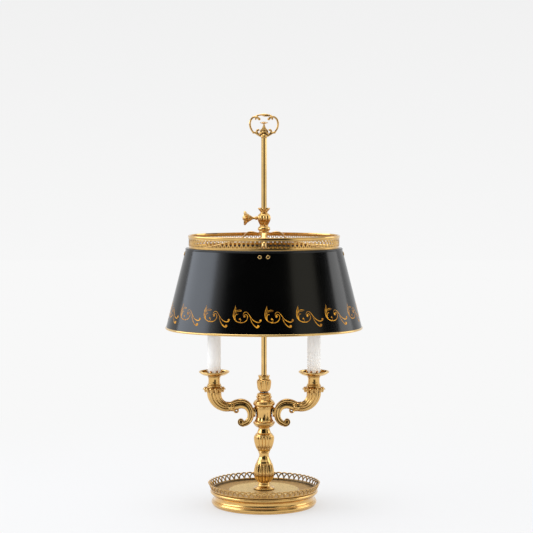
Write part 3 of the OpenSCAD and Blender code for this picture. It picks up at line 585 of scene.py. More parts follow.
def reeding_nodes():
    """Cuts upright reeds round a turned piece: Count of them from the angle Start,
    Depth deep in the grooves, between the heights Low and High, fading over Fade.
    Points nearer to the axis than Inside stay where they are."""
    tree, inputs = new_nodes("reeding", [
        ("Count", "Int", 16), ("Depth", "Float", 0.0012), ("Low", "Float", 0.0),
        ("High", "Float", 1.0), ("Fade", "Float", 0.004), ("Inside", "Float", 0.006),
        ("Start", "Float", 0.0), ("Material", "Material", None)])
    spot = add(tree, "GeometryNodeInputPosition")
    x, y, z = add(tree, SPLIT, {0: spot}).outputs
    # the reeds: round crests, sharp grooves
    heading = add(tree, MATH, {0: y, 1: x}, operation="ARCTAN2")
    turn = add(tree, MATH, {0: heading, 1: inputs["Start"]}, operation="SUBTRACT")
    halves = add(tree, MATH, {0: inputs["Count"], 1: 0.5}, operation="MULTIPLY")
    half = add(tree, MATH, {0: turn, 1: halves}, operation="MULTIPLY")
    wave = add(tree, MATH, {0: half}, operation="COSINE")
    crest = add(tree, MATH, {0: wave}, operation="ABSOLUTE")
    groove = add(tree, MATH, {0: 1.0, 1: crest}, operation="SUBTRACT")
    # their run-out at both ends
    risen = add(tree, MATH, {0: inputs["Low"], 1: inputs["Fade"]}, operation="ADD")
    rise = add(tree, RANGE, {"Value": z, "From Min": inputs["Low"], "From Max": risen},
               interpolation_type=SMOOTH)
    falls = add(tree, MATH, {0: inputs["High"], 1: inputs["Fade"]},
                operation="SUBTRACT")
    fall = add(tree, RANGE, {"Value": z, "From Min": falls, "From Max": inputs["High"],
                             "To Min": 1.0, "To Max": 0.0}, interpolation_type=SMOOTH)
    flat = add(tree, JOIN, {0: x, 1: y})
    radius = add(tree, VECTOR_MATH, {0: flat}, operation="LENGTH").outputs["Value"]
    outer = add(tree, MATH, {0: radius, 1: inputs["Inside"]}, operation="GREATER_THAN")
    depth = inputs["Depth"]
    for share in (groove, rise, fall, outer):
        depth = add(tree, MATH, {0: depth, 1: share}, operation="MULTIPLY")
    back = add(tree, MATH, {0: depth, 1: -1.0}, operation="MULTIPLY")
    outward = add(tree, VECTOR_MATH, {0: flat}, operation="NORMALIZE")
    inward = add(tree, VECTOR_MATH, {0: outward, "Scale": back}, operation="SCALE")
    cut = add(tree, "GeometryNodeSetPosition",
              {"Geometry": inputs["Geometry"], "Offset": inward})
    finish_nodes(tree, cut, inputs["Material"])
    return tree


def wrap_nodes():
    """Repeats Cell, drawn from x = 0 to Width with its -Y side to the front, Count
    times along the closed line that is the modifier's own mesh. Each height z is
    carried out by Lean times z."""
    tree, inputs = new_nodes("wrap_round", [
        ("Cell", "Object", None), ("Count", "Int", 10), ("Width", "Float", 0.01),
        ("Lean", "Float", 0.0), ("Material", "Material", None)])
    # a straight strip of cells
    cell = add(tree, "GeometryNodeObjectInfo", {"Object": inputs["Cell"]})
    step = add(tree, JOIN, {0: inputs["Width"]})
    row = add(tree, "GeometryNodeMeshLine", {"Count": inputs["Count"], "Offset": step})
    copies = add(tree, "GeometryNodeInstanceOnPoints",
                 {"Points": row, "Instance": cell.outputs["Geometry"]})
    strip = add(tree, "GeometryNodeRealizeInstances", {"Geometry": copies})
    # the place on the line that belongs to each point's x
    spot = add(tree, "GeometryNodeInputPosition")
    x, y, z = add(tree, SPLIT, {0: spot}).outputs
    total = add(tree, MATH, {0: inputs["Count"], 1: inputs["Width"]},
                operation="MULTIPLY")
    laps = add(tree, MATH, {0: x, 1: total}, operation="DIVIDE")
    share = add(tree, MATH, {0: laps}, operation="FRACT")
    line = add(tree, "GeometryNodeMeshToCurve", {"Mesh": inputs["Geometry"]})
    sample = add(tree, "GeometryNodeSampleCurve", {"Curves": line, "Factor": share},
                 mode="FACTOR").outputs
    # out from the line by -y and the lean, and up by z
    across = add(tree, VECTOR_MATH, {0: sample["Tangent"], 1: (0.0, 0.0, 1.0)},
                 operation="CROSS_PRODUCT")
    outward = add(tree, VECTOR_MATH, {0: across}, operation="NORMALIZE")
    lean = add(tree, MATH, {0: z, 1: inputs["Lean"]}, operation="MULTIPLY")
    reach = add(tree, MATH, {0: lean, 1: y}, operation="SUBTRACT")
    out = add(tree, VECTOR_MATH, {0: outward, "Scale": reach}, operation="SCALE")
    up = add(tree, JOIN, {2: z})
    off = add(tree, VECTOR_MATH, {0: out, 1: up}, operation="ADD")
    place = add(tree, VECTOR_MATH, {0: sample["Position"], 1: off}, operation="ADD")
    bent = add(tree, "GeometryNodeSetPosition", {"Geometry": strip, "Position": place})
    merged = add(tree, "GeometryNodeMergeByDistance",
                 {"Geometry": bent, "Distance": MERGE})
    finish_nodes(tree, merged, inputs["Material"])
    return tree


REEDING = reeding_nodes()
WRAP = wrap_nodes()


def through_nodes(piece, tree, **values):
    """Runs a Geometry Nodes tree on a piece and keeps the result as its mesh."""
    modifier = piece.modifiers.new(tree.name, "NODES")
    modifier.node_group = tree
    sockets = {s.name: s.identifier for s in tree.interface.items_tree
               if s.item_type == "SOCKET" and s.in_out == "INPUT"}
    for name, value in values.items():
        modifier[sockets[name]] = value
    bpy.context.view_layer.update()
    evaluated = piece.evaluated_get(bpy.context.evaluated_depsgraph_get())
    mesh = bpy.data.meshes.new_from_object(evaluated)
    piece.modifiers.clear()
    piece.data = mesh
    shaded(mesh, 50)
    return piece


def reeded(name, outline, material, count, depth, low, high, fade=4.0):
    """A turned piece with upright reeds between two heights, in millimetres."""
    piece = mesh_of(name, turned(outline, count * 14), material)
    return through_nodes(piece, REEDING, Count=count, Depth=depth * MM, Low=low * MM,
                         High=high * MM, Fade=fade * MM, Inside=6 * MM, Start=0.0,
                         Material=material)


def wrapped(name, cell, line, count, width, lean, material):
    """A cell repeated round a closed line of points."""
    helper = mesh_of(name + "_cell", cell, material)
    path = bpy.data.meshes.new(name)
    path.from_pydata([[c * MM for c in p] for p in line],
                     [(i, (i + 1) % len(line)) for i in range(len(line))], [])
    piece = bpy.data.objects.new(name, path)
    bpy.context.scene.collection.objects.link(piece)
    through_nodes(piece, WRAP, Cell=helper, Count=count, Width=width * MM, Lean=lean,
                  Material=material)
    bpy.data.objects.remove(helper)
    return piece


# ---- The shade's plan: an oval of four arcs that meet at a 3-4-5 slope ----

END_X = 1.5 * (SHADE_A - SHADE_B)
SIDE_Y = 2 * (SHADE_A - SHADE_B)
END_R = SHADE_A - END_X
SIDE_R = SHADE_B + SIDE_Y
END_TURN = math.atan2(0.8, 0.6)


def oval_line(out, z, shift, count=720):
    """Evenly spaced points round the shade's plan, "out" outside of its top
    edge, anticlockwise from the front, and shifted along by some length."""
    end = (END_R + out) * END_TURN
    side = (SIDE_R + out) * (math.pi / 2 - END_TURN)
    total = 4 * (end + side)
    points = []
    for i in range(count):
        s = (total * i / count + shift) % total
        # the front half of the front arc, the right end, the back, the left end
        if s < side:
            turn, centre, r = -math.pi / 2 + s / (SIDE_R + out), (0, SIDE_Y), SIDE_R
        elif s < side + 2 * end:
            turn, centre, r = -END_TURN + (s - side) / (END_R + out), (END_X, 0), END_R
        elif s < 3 * side + 2 * end:
            turn = END_TURN + (s - side - 2 * end) / (SIDE_R + out)
            centre, r = (0, -SIDE_Y), SIDE_R
        elif s < 3 * side + 4 * end:
            turn = math.pi - END_TURN + (s - 3 * side - 2 * end) / (END_R + out)
            centre, r = (-END_X, 0), END_R
        else:
            turn = -math.pi / 2 - (total - s) / (SIDE_R + out)
            centre, r = (0, SIDE_Y), SIDE_R
        points.append((centre[0] + (r + out) * math.cos(turn),
                       centre[1] + (r + out) * math.sin(turn), z))
    return points


def oval_solid(outline, count=480):
    """A closed outline of (out, height) points carried round the shade's plan. Every
    ring is drawn at the same headings, so that the quads stay square."""
    verts = []
    for i in range(count):
        turn = TAU * i / count - math.pi / 2
        c, s = math.cos(turn), math.sin(turn)
        if abs(c) >= math.cos(END_TURN) - 1e-9:
            centre, r = (math.copysign(END_X, c), 0), END_R
        else:
            centre, r = (0, -math.copysign(SIDE_Y, s)), SIDE_R
        for out, z in outline:
            verts.append((centre[0] + (r + out) * c, centre[1] + (r + out) * s, z))
    return verts, ring_faces(count, len(outline))


def circle_line(r, z, count=720):
    """Points round a circle, anticlockwise from the front."""
    turns = [TAU * i / count - math.pi / 2 for i in range(count)]
    return [(r * math.cos(a), r * math.sin(a), z) for a in turns]


# ---- Foot ----

def foot():
    """Cast foot: two mouldings with turned lines, round a shallow tray."""
    outer = (smooth([(84.6, 0.25), (85.6, 0.4), (86.7, 1.5), (87.6, 3.0)], 3)
             + [(87.3, 3.3)]
             + smooth([(88.1, 3.7), (88.9, 5.2), (88.9, 6.9), (88.3, 8.4)], 4)
             + [(87.8, 8.6)] + smooth([(88.0, 8.9), (87.5, 9.9), (86.4, 10.4)], 3)
             + [(85.7, 10.5)]
             + smooth([(85.1, 11.3), (84.5, 13.2), (84.4, 15.2), (84.8, 17.1),
                       (85.7, 18.5)], 4)
             + [(86.6, 18.6)] + smooth([(87.3, 19.0), (87.9, 19.8)], 2)
             + [(87.6, 20.0)] + smooth([(89.0, 20.4), (89.6, 21.0)], 2)
             + [(89.3, 21.2)]
             + smooth([(90.4, 21.7), (91.0, 22.9), (90.9, 24.2), (90.1, 25.5),
                       (88.6, 26.4)], 4))
    inner = [(85.6, 26.45), (PLATE_R + 0.8, 26.2), (PLATE_R + 0.15, 26.2),
             (PLATE_R + 0.15, 25), (PIPE_R, 25), (PIPE_R, 14), (15, 14), (17, 21),
             (74.5, 21), (80.5, 16), (80.5, FELT_T), (84.6, FELT_T)]
    return mesh_of("foot", turned(outer + inner, 240), foot_brass)


def tray_disc():
    """Matted plate let into the tray, with a plain raised rim."""
    outline = [(PIPE_R, 25), (PLATE_R, 25), (PLATE_R, 26.4), (58.1, PLATE_TOP),
               (57.3, PLATE_TOP), (56.9, 26.55), (56.3, 26.5), (PIPE_R, 26.6)]
    return mesh_of("tray_disc", turned(outline, 200), plate_brass)


def tray_floor():
    """Matted ring of the tray between the plate and the gallery."""
    outline = [(PLATE_R + 0.9, 26.2), (86.2, 26.45), (86.2, 26.5), (PLATE_R + 0.9, 26.27)]
    return mesh_of("tray_floor", turned(outline, 200), tray_brass)


def arch_cell(width, height, strap):
    """One arch of the foot gallery with its share of the rail. Each arch passes
    in front of the next one's left leg and behind the last one's right leg."""
    reach = 0.97 * width
    arch = []
    for i in range(29):
        turn = math.pi * (1 - i / 28)
        weave = 0.45 * math.cos(turn)
        arch.append((width / 2 + reach * math.cos(turn), weave,
                     0.6 * strap + (height - 1.1 * strap) * math.sin(turn)))
    section = round_section([0.5 * strap, 0.46 * strap, 0.5 * strap], 10, 0.85)
    rail = wire([(x * width / 4, 0, strap * 0.55) for x in range(5)], 0.55 * strap, 10)
    foot_rail = wire([(x * width / 4, 0, 0.25 * strap) for x in range(5)],
                     0.42 * strap, 10, 1.3)
    drop = ball(0.62 * strap, (width / 2, -0.5, height - 0.5 * strap), (1, 0.8, 0.8), 10)
    return joined(swept(arch, section), rail, foot_rail, drop)


def foot_gallery():
    """Cast gallery of interlaced arches that leans out round the tray."""
    width = TAU * FOOT_GALLERY_R / FOOT_ARCHES
    return wrapped("foot_gallery_arches", arch_cell(width, FOOT_GALLERY_H, FOOT_STRAP),
                   circle_line(FOOT_GALLERY_R, FOOT_H + 0.05), FOOT_ARCHES, width,
                   math.tan(math.radians(FOOT_LEAN)), gallery_brass)


# ---- Column ----

def foot_vase():
    """Reeded baluster on a turned base, with a smooth cone for its neck."""
    outline = raised(
        [(PIPE_R, 0), (16.6, 0)]
        + smooth([(17.2, 0.3), (17.9, 1.3), (17.8, 2.5), (16.8, 3.3)], 4)
        + [(15.6, 3.4), (15.4, 4.0)]
        + smooth([(14.4, 4.2), (11.6, 6.2), (10.2, 8.6)], 5)
        + [(9.7, 8.9)] + smooth([(10.4, 9.3), (10.7, 10.3), (10.2, 11.3)], 3)
        + smooth([(10.0, 11.6), (12.2, 13.6), (15.0, 17.2), (16.7, 22.0), (17.2, 27.5),
                  (17.0, 31.5), (16.2, 35.5), (15.0, 40.6), (13.8, 44.2)], 6)
        + [(13.0, 44.8)]
        + smooth([(12.9, 45.4), (12.2, 47.6), (10.6, 50.6), (9.5, 53.0), (8.6, 55.6),
                  (8.3, 58.4), (8.6, 61.4)], 4)
        + [(PIPE_R, 61.4)], PLATE_TOP)
    return reeded("foot_vase_reeded", outline, cast_brass, 16, 2.0,
                  PLATE_TOP + 11.5, PLATE_TOP + 44.8, 3)


def knop_ring():
    """Turned ring of two beads between the vases."""
    outline = raised(
        [(PIPE_R, 0)] + smooth([(8.8, 0), (9.4, 0.5), (9.5, 1.2), (9.1, 1.9)], 3)
        + smooth([(9.6, 2.2), (10.3, 2.9), (10.5, 3.5), (10.2, 4.2)], 3)
        + [(PIPE_R, 4.2)], KNOP_Z)
    return mesh_of("knop_ring_turned", turned(outline, 96), bright_brass)


def middle_vase():
    """Reeded cup under a smooth waist."""
    outline = raised(
        [(PIPE_R, 0)]
        + smooth([(10.6, 0), (11.9, 2.0), (13.2, 4.2), (14.9, 8.6), (16.3, 14.0),
                  (17.2, 19.6), (17.0, 23.4), (16.0, 26.2)], 6)
        + [(14.9, 27.2)] + smooth([(14.7, 27.6), (14.3, 28.6), (13.0, 29.6)], 3)
        + [(12.0, 30.2)] + smooth([(11.6, 31.2), (10.6, 34.2), (9.8, 36.8), (9.6, 38.4),
                                   (10.2, 39.6)], 3)
        + [(PIPE_R, 39.6)], MID_Z)
    return reeded("middle_vase_reeded", outline, cast_brass, 16, 1.8,
                  MID_Z + 2.0, MID_Z + 27.0, 4)


def hub():
    """Arm hub: a drum of eight lobes whose rims are scalloped, between mouldings."""
    outline = raised(
        [(PIPE_R, 0)] + smooth([(11, 0), (13.4, 1.0), (15.4, 2.9)], 4)
        + [(15.9, 3.1)] + smooth([(16.8, 4.2), (17.9, 6.2), (18.2, 7.2)], 3)
        + [(17.7, 7.4)] + smooth([(18.4, 7.8), (18.6, 8.8), (18.2, 9.8)], 3)
        + [(16.6, 10.1)]
        + smooth([(16.2, 10.9), (14.6, 13.8), (13.4, 18), (13.1, 22.4), (13.5, 27),
                  (14.5, 31.4), (16.3, 35.4)], 6)
        + [(15.8, 36.3)]
        + smooth([(16.4, 36.9), (17.8, 38.4), (18.5, 40.2), (18.5, 41.6),
                  (17.8, 43.0)], 4)
        + [(17.3, 43.1)] + smooth([(17.2, 43.7), (16.6, 44.9), (15.2, 46.0)], 3)
        + [(14.6, 46.2)] + smooth([(14.2, 46.8), (13.4, 47.6), (12.6, 48)], 3)
        + [(PIPE_R, 48)], HUB_Z)
    low, middle, high = HUB_Z + 10.2, HUB_Z + 23, HUB_Z + 36.2
    scallops, deepest = HUB_Z + 27, 1.6
    lobes = 8

    def lobed(r, z, turn):
        """The drum's radius, drawn in between its lobes."""
        depth = 0.5 + abs(z - middle) / 13
        return r - depth * dent(turn, lobes) if low < z < high else r
    verts, faces = turned(outline, 160, lobed)
    scalloped = []
    for x, y, z in verts:
        share = (z - scallops) / 8 if scallops < z < high else 0
        drop = deepest * dent(math.atan2(y, x), lobes) * min(1, share)
        scalloped.append((x, y, z - drop))
    return mesh_of("arm_hub_drum", (scalloped, faces), cast_brass)


def top_vase():
    """Reeded bud on a moulded base, from which the rod rises."""
    outline = raised(
        [(ROD_R + 0.1, 0), (12.4, 0), (12.4, 1.6)]
        + smooth([(12.8, 2.0), (13.5, 3.3), (13.3, 4.5), (12.3, 5.5)], 4)
        + [(11.8, 5.7)] + smooth([(12.0, 6.2), (12.2, 7.4), (12.0, 8.6), (11.2, 9.8)], 3)
        + [(10.4, 10.3)]
        + smooth([(8.8, 11.0), (6.8, 11.8), (6.5, 12.4), (7.8, 13.2), (9.3, 14.8),
                  (10.5, 17.0), (11.2, 19.6), (11.7, 23.0), (12.1, 27.0), (12.2, 30.4),
                  (12.0, 32.4)], 5)
        + [(10.6, 33.4)] + smooth([(9.6, 33.9), (9.1, 35.4), (9.3, 37.2)], 3)
        + [(9.1, 38.0)] + smooth([(9.9, 38.3), (10.1, 39.4), (9.4, 40.8)], 3)
        + [(ROD_R + 0.1, 41)], TOP_VASE_Z)
    return reeded("top_vase_reeded", outline, cast_brass, 14, 1.2,
                  TOP_VASE_Z + 13.0, TOP_VASE_Z + 33.4, 4)


def rod():
    """Drawn brass rod, with its top edge broken."""
    edge = 0.4
    outline = [(0, ROD_LOW), (ROD_R, ROD_LOW), (ROD_R, ROD_TOP - edge),
               (ROD_R - edge, ROD_TOP), (0, ROD_TOP)]
    return mesh_of("rod_drawn", turned(outline, 96), bright_brass)


# ---- Arms ----

def scroll_section(width, depth, sides=7):
    """The scroll's section: a narrow outer roll and a broad inner roll with a
    groove between them, on both faces."""
    points = []
    for centre, half in ((0.66, 0.34), (-0.34, 0.66)):
        for i in range(sides + 1):
            turn = math.pi * i / sides
            points.append((centre + half * math.cos(turn),
                           0.36 + 0.64 * math.sin(turn) ** 0.6))
    other = [(u, -v) for u, v in points[::-1]]
    return [(u * width / 2, v * depth / 2) for u, v in points + other]


def arm_parts():
    """The right-hand arm as one shape: reeded horn, leaf wrap, C-scroll with its
    volutes, and the seat of the leaf ring."""
    # reeded horn: a short level run, its bend, and the flare into the leaf ring
    horn = [(BEND_X - 10 + 2.5 * k, 0, ARM_Z) for k in range(4)]
    horn += [(BEND_X + BEND_R * math.sin(t), 0, BEND_Z - BEND_R * math.cos(t))
             for t in [math.radians(6 * k) for k in range(16)]]
    horn.append((CANDLE_X, 0, LEAF_Z - 0.02))
    reeds = 12
    sides = reeds * 10

    def horn_section(step, _):
        """Reeded outline, 7.5 mm in radius at the wrap and 12.15 mm at its end."""
        r = 7.5 + 4.65 * min(1, max(0, step - 3) / 15)
        depth = 1.0 + 0.5 * min(1, step / 15)
        points = []
        for a in [TAU * i / sides for i in range(sides)]:
            cut = r - depth * (1 - abs(math.cos(reeds / 2 * a)) ** 0.8)
            points.append((cut * math.cos(a), cut * math.sin(a)))
        return points

    # C-scroll: [x, z, width], and then round the volute: [turn, outer radius, width]
    eye = (38.2, 141.6)
    band = [(53.0, 168.6, 15.5), (46.0, 171.2, 16.6), (37.6, 172.4, 16.6),
            (30.0, 169.8, 15.2), (25.2, 164.6, 13.4), (22.8, 158.0, 11.8),
            (22.6, 151.2, 11.0), (24.6, 145.2, 10.4), (28.6, 140.6, 9.8),
            (33.4, 138.2, 8.8)]
    for turn, reach, width in ((248, 8.9, 7.0), (290, 7.3, 5.2), (335, 6.6, 4.4),
                               (20, 6.3, 4.0), (65, 5.9, 3.7), (110, 5.2, 3.4),
                               (155, 4.5, 3.0), (200, 3.7, 2.6)):
        r, a = reach - width / 2, math.radians(turn)
        band.append((eye[0] + r * math.cos(a), eye[1] + r * math.sin(a), width))
    band = smooth(band, 5)

    def scroll_at(i, t):
        """The scroll's outline, thinner towards the eye."""
        return scroll_section(band[i][2], 11.2 - 3.0 * t ** 2)

    wrap = turned([(0, -3.6)] + smooth([(6.4, -3.6), (7.9, -2), (8.6, 0.4), (8.0, 2.4),
                                        (6.8, 3.6)], 4) + [(0, 3.6)], 64,
                  lambda r, z, a: r * (1 - 0.1 * dent(a, 8)))
    wrap = moved(wrap, at(BEND_X - 6.6, 0, ARM_Z + 1.1, 82, "Y"))
    # leaf tips that lap over the horn from the wrap, and back over the scroll
    tips = [moved(leaf(10.5, 6.8, 1.1, 0.6, 2),
                  at(BEND_X - 7.0, 0, ARM_Z + 0.7, 88, "Y")
                  @ Matrix.Rotation(TAU * k / 8, 4, "Z") @ at(0, -7.3, 0)
                  @ Matrix.Rotation(math.radians(-5), 4, "X")) for k in range(8)]
    crest = ball(2.6, (BEND_X - 10.6, 0, ARM_Z + 6.6), (1.3, 1.5, 0.8), 14)
    # small curl under the wrap, wound in from 40 degrees
    curl = []
    for a in range(0, 401, 16):
        r, turn = 4.3 - 0.0072 * a, math.radians(-a + 40)
        curl.append((46.4 + r * math.cos(turn), 0, 161.0 + r * math.sin(turn)))
    curl_shape = wire(curl, [2.1, 1.8, 1.5, 1.3], 12, 2.4)
    web = moved(turned([(0, -1.6), (4.6, -1.6), (4.6, 1.6), (0, 1.6)], 32),
                at(eye[0], 0, eye[1], 90, "X"))
    neck = moved(turned([(0, LEAF_Z - 1.8), (11.9, LEAF_Z - 1.8), (12.3, LEAF_Z - 0.9),
                         (12.0, LEAF_Z - 0.02), (0, LEAF_Z - 0.02)], 72), at(CANDLE_X))
    scroll = swept([(x, 0, z) for x, z, _ in band], scroll_at)
    pupil = ball(1.7, (eye[0], 0, eye[1]), (1, 2.6, 1), 14)
    return joined(swept(horn, horn_section), scroll, wrap, *tips, crest, curl_shape,
                  web, pupil, neck)


def hub_pad():
    """Oval pad that seats the arm on the hub, behind the scroll."""
    outline = [(0, 0), (8.3, 0), (8.9, 0.8), (8.9, 2.6), (8.0, 3.6), (6.4, 5.6), (0, 5.6)]
    return moved(turned(outline, 64), at(14.2, 0, 158) @ scaled(1, 0.58, 0.94)
                 @ at(turn=90, axis="Y"))


# ---- Candle fittings, drawn on their own axis ----

def leaf_ring():
    """Cast ring of twelve turned-over leaves under the cup."""
    z = LEAF_Z
    body = turned([(PIPE_R, z), (11.7, z)]
                  + smooth([(12.4, z + 0.6), (14.4, z + 2.4), (15.8, z + 4.2),
                            (15.4, z + 5.6), (14.0, z + 6.2)], 4)
                  + [(12.8, z + 6.6), (11.6, z + 8.5), (PIPE_R, z + 8.5)], 72)
    petal = ball(3.5, (0, 0.1, z + 4.9), (1.08, 1, 0.82), 18)
    vein = moved(leaf(5.4, 2.0, 0.6, -1.0, 1), at(0, -1.2, z + 7.7, 146, "X"))
    drop = ball(2.7, (0, -1.0, z + 2.3), (1.05, 0.8, 1.25), 16)
    leaves = 12
    return joined(body, ring_of(joined(petal, vein), leaves, 15.0, math.pi / leaves),
                  ring_of(drop, leaves, 14.2, math.pi / leaves))


def candle_cup():
    """Turned cup with a narrow waist between two mouldings."""
    return turned(raised(
        [(PIPE_R, 0)]
        + smooth([(11.2, 0), (12.2, 0.6), (12.3, 1.8), (11.5, 2.8)], 4)
        + [(10.9, 3.0)] + smooth([(11.3, 3.4), (11.2, 4.3), (10.6, 4.8)], 3)
        + [(10.1, 4.9)]
        + smooth([(10.1, 6.4), (9.8, 8.8), (9.8, 11.2), (10.0, 13.8), (10.5, 15.8)], 5)
        + [(10.3, 16.1)] + smooth([(11.0, 16.4), (11.2, 17.2), (10.9, 17.7)], 3)
        + [(11.0, 17.9), (13.8, 18.5), (18.2, 19.45), (PIPE_R, 19.45)], CUP_Z), 96)


def drip_pan():
    """Spun drip pan with a thin rolled lip."""
    return turned(raised(
        [(PIPE_R, 0), (18.6, 0)]
        + smooth([(20.4, 0.6), (23, 2.3), (24.9, 4.0)], 5)
        + smooth([(25.6, 4.4), (26.0, 5.3), (25.8, 6.2), (25.1, 6.5), (24.5, 6.0),
                  (24.4, 5.4)], 4)
        + smooth([(23.4, 4.2), (21.6, 2.7), (19.4, 1.9)], 4)
        + [(16.6, 1.75)] + smooth([(15.9, 1.9), (14.9, 1.8), (14.4, 1.4)], 3)
        + [(PIPE_R, 1.4)], PAN_Z), 128)


def sleeve_crown():
    """Ring of small leaves that holds the foot of the candle sleeve."""
    band = turned([(SLEEVE_R + 0.15, SLEEVE_Z), (13.4, SLEEVE_Z), (13.2, SLEEVE_Z + 1.4),
                   (12.4, SLEEVE_Z + 2.2), (SLEEVE_R + 0.15, SLEEVE_Z + 2.2)], 72)
    tip = moved(leaf(6.4, 4.6, 0.8, 2.2, 1), at(0, 0, SLEEVE_Z + 1.2))
    leaves = 8
    return joined(band, ring_of(tip, leaves, 12.1, math.pi / leaves))


def candle_sleeve():
    """Card tube with a softened top edge."""
    inner, top = SLEEVE_R - 1.1, SLEEVE_Z + SLEEVE_H
    return turned([(inner, SLEEVE_Z), (SLEEVE_R, SLEEVE_Z), (SLEEVE_R, top - 0.5),
                   (SLEEVE_R - 0.4, top), (SLEEVE_R - 0.8, top), (inner, top - 0.4)], 96)


def bulb_profile(inset):
    """Outline of a candle bulb's glass, drawn in from the outside by inset."""
    r = BULB_R
    points = smooth([(5.8, 0), (6.6, 4), (r * 0.72, 11), (r * 0.97, 20), (r, 27),
                     (r * 0.9, 38), (r * 0.62, 50), (r * 0.3, 60), (1.5, 65.2)], 5)
    inner = [(max(x - inset, 0), min(z, 66 - 1.4 * inset)) for x, z in points]
    return [(x, z + BULB_Z) for x, z in inner]


def bulb_glass():
    """Thin blown glass, closed at its foot."""
    outer = bulb_profile(0) + [(0, BULB_Z + 66)]
    inner = [(0, BULB_Z + 64.6)] + bulb_profile(0.7)[::-1]
    return turned([(0, BULB_Z)] + outer + inner + [(0, BULB_Z + 1)], 64)


def bulb_filament():
    """Glass stem's wires and the filament's loop."""
    z = BULB_Z + 1
    path = smooth([(-3, 0, z), (-3.6, 0, z + 14), (-5, 0, z + 26)], 4)
    legs = joined(wire(path, 0.35, 6), wire([(-x, y, h) for x, y, h in path], 0.35, 6))
    turns = 5
    coil = [(-5 + 10 * t, 2.2 * math.sin(TAU * turns * t),
             z + 26 + 9 * math.sin(math.pi * t)) for t in [i / 60 for i in range(61)]]
    return joined(legs, wire(coil, 0.22, 6), ball(2.2, (0, 0, z + 3), (1, 1, 2), 10))


def bulb_cap():
    """Threaded lamp cap with its contact."""
    thread = []
    for k in range(10):
        z = BULB_Z - 21.8 + 2.1 * k
        thread += [(5.3, z), (5.8, z + 0.7), (5.8, z + 1.2), (5.3, z + 1.9)]
    return turned([(0, BULB_Z - 23.8), (2.2, BULB_Z - 23.8), (2.4, BULB_Z - 22.6),
                   (5.0, BULB_Z - 21.9)] + thread + [(5.8, BULB_Z), (0, BULB_Z)], 48)


# ---- Shade ----

def shade_shell():
    """Rolled sheet with a wired lip at the top and a plain bottom edge."""
    top = SHADE_TOP
    wall_top = top - 3.4
    lip = smooth([(1.2, wall_top), (1.5, top - 2.2), (1.2, top - 0.9), (0.2, top - 0.12),
                  (-1.2, top)], 4)
    inner_lip = [(-6.6, top), (-6.6, top - SHEET_T), (-1.2, top - SHEET_T),
                 (-0.3, top - 1.3)]
    outline = ([(SHADE_FLARE, SHADE_BOTTOM)] + lip + inner_lip
               + [(1.2 - SHEET_T, wall_top), (SHADE_FLARE - SHEET_T, SHADE_BOTTOM)])
    return mesh_of("shade_shell", oval_solid(outline), tole, 30)


def shade_lining():
    """Coat of gold paint on the shade's inner face."""
    top, low = SHADE_TOP - 4, SHADE_BOTTOM + 1
    inner = [(1.2 - SHEET_T - 0.02 + (SHADE_FLARE - 1.2) * (top - z) / (top - low), z)
             for z in (top, low)]
    outline = inner + [(out - 0.15, z) for out, z in inner[::-1]]
    return mesh_of("gold_lining", oval_solid(outline), lining_paint)


def shade_rim():
    """Half-round brass wire closed over the shade's bottom edge."""
    out, z = SHADE_FLARE - SHEET_T / 2, SHADE_BOTTOM - 0.1
    outline = [(out + BEAD_R * math.cos(a), z + BEAD_R * math.sin(a))
               for a in [TAU * i / 20 for i in range(20)]]
    return mesh_of("shade_rim_bead", oval_solid(outline), bright_brass)


BRUSH = 0.44  # half of a stroke's painted width, as a share of the width listed
STROKE_LIFT = 0.18  # how far the paint stands off the enamel in a stroke's middle
DOT_LIFT = 0.26


def stroke(points, widths):
    """A painted stroke on the x-z plane, raised towards -Y, with its width
    following the list."""
    line = smooth(points, 4)
    n = len(line)
    verts, faces = [], []
    for i, (x, z) in enumerate(line):
        a, b = line[max(i - 1, 0)], line[min(i + 1, n - 1)]
        dx, dz = b[0] - a[0], b[1] - a[1]
        size = math.hypot(dx, dz) or 1
        t = i / (n - 1) * (len(widths) - 1)
        k = min(int(t), len(widths) - 2)
        half = BRUSH * (widths[k] + (widths[k + 1] - widths[k]) * (t - k))
        sx, sz = -dz / size * half, dx / size * half
        verts += [(x + sx, 0, z + sz), (x, -STROKE_LIFT, z), (x - sx, 0, z - sz)]
    for i in range(n - 1):
        a, b = 3 * i, 3 * i + 3
        faces += [(a, b, b + 1, a + 1), (a + 1, b + 1, b + 2, a + 2),
                  (a, a + 2, b + 2, b)]
    faces += [(0, 1, 2), (3 * n - 1, 3 * n - 2, 3 * n - 3)]
    return verts, faces


def dot(x, z, r):
    """A painted round dot."""
    return ball(1, (x, 0, z), (r, DOT_LIFT, r), 12)


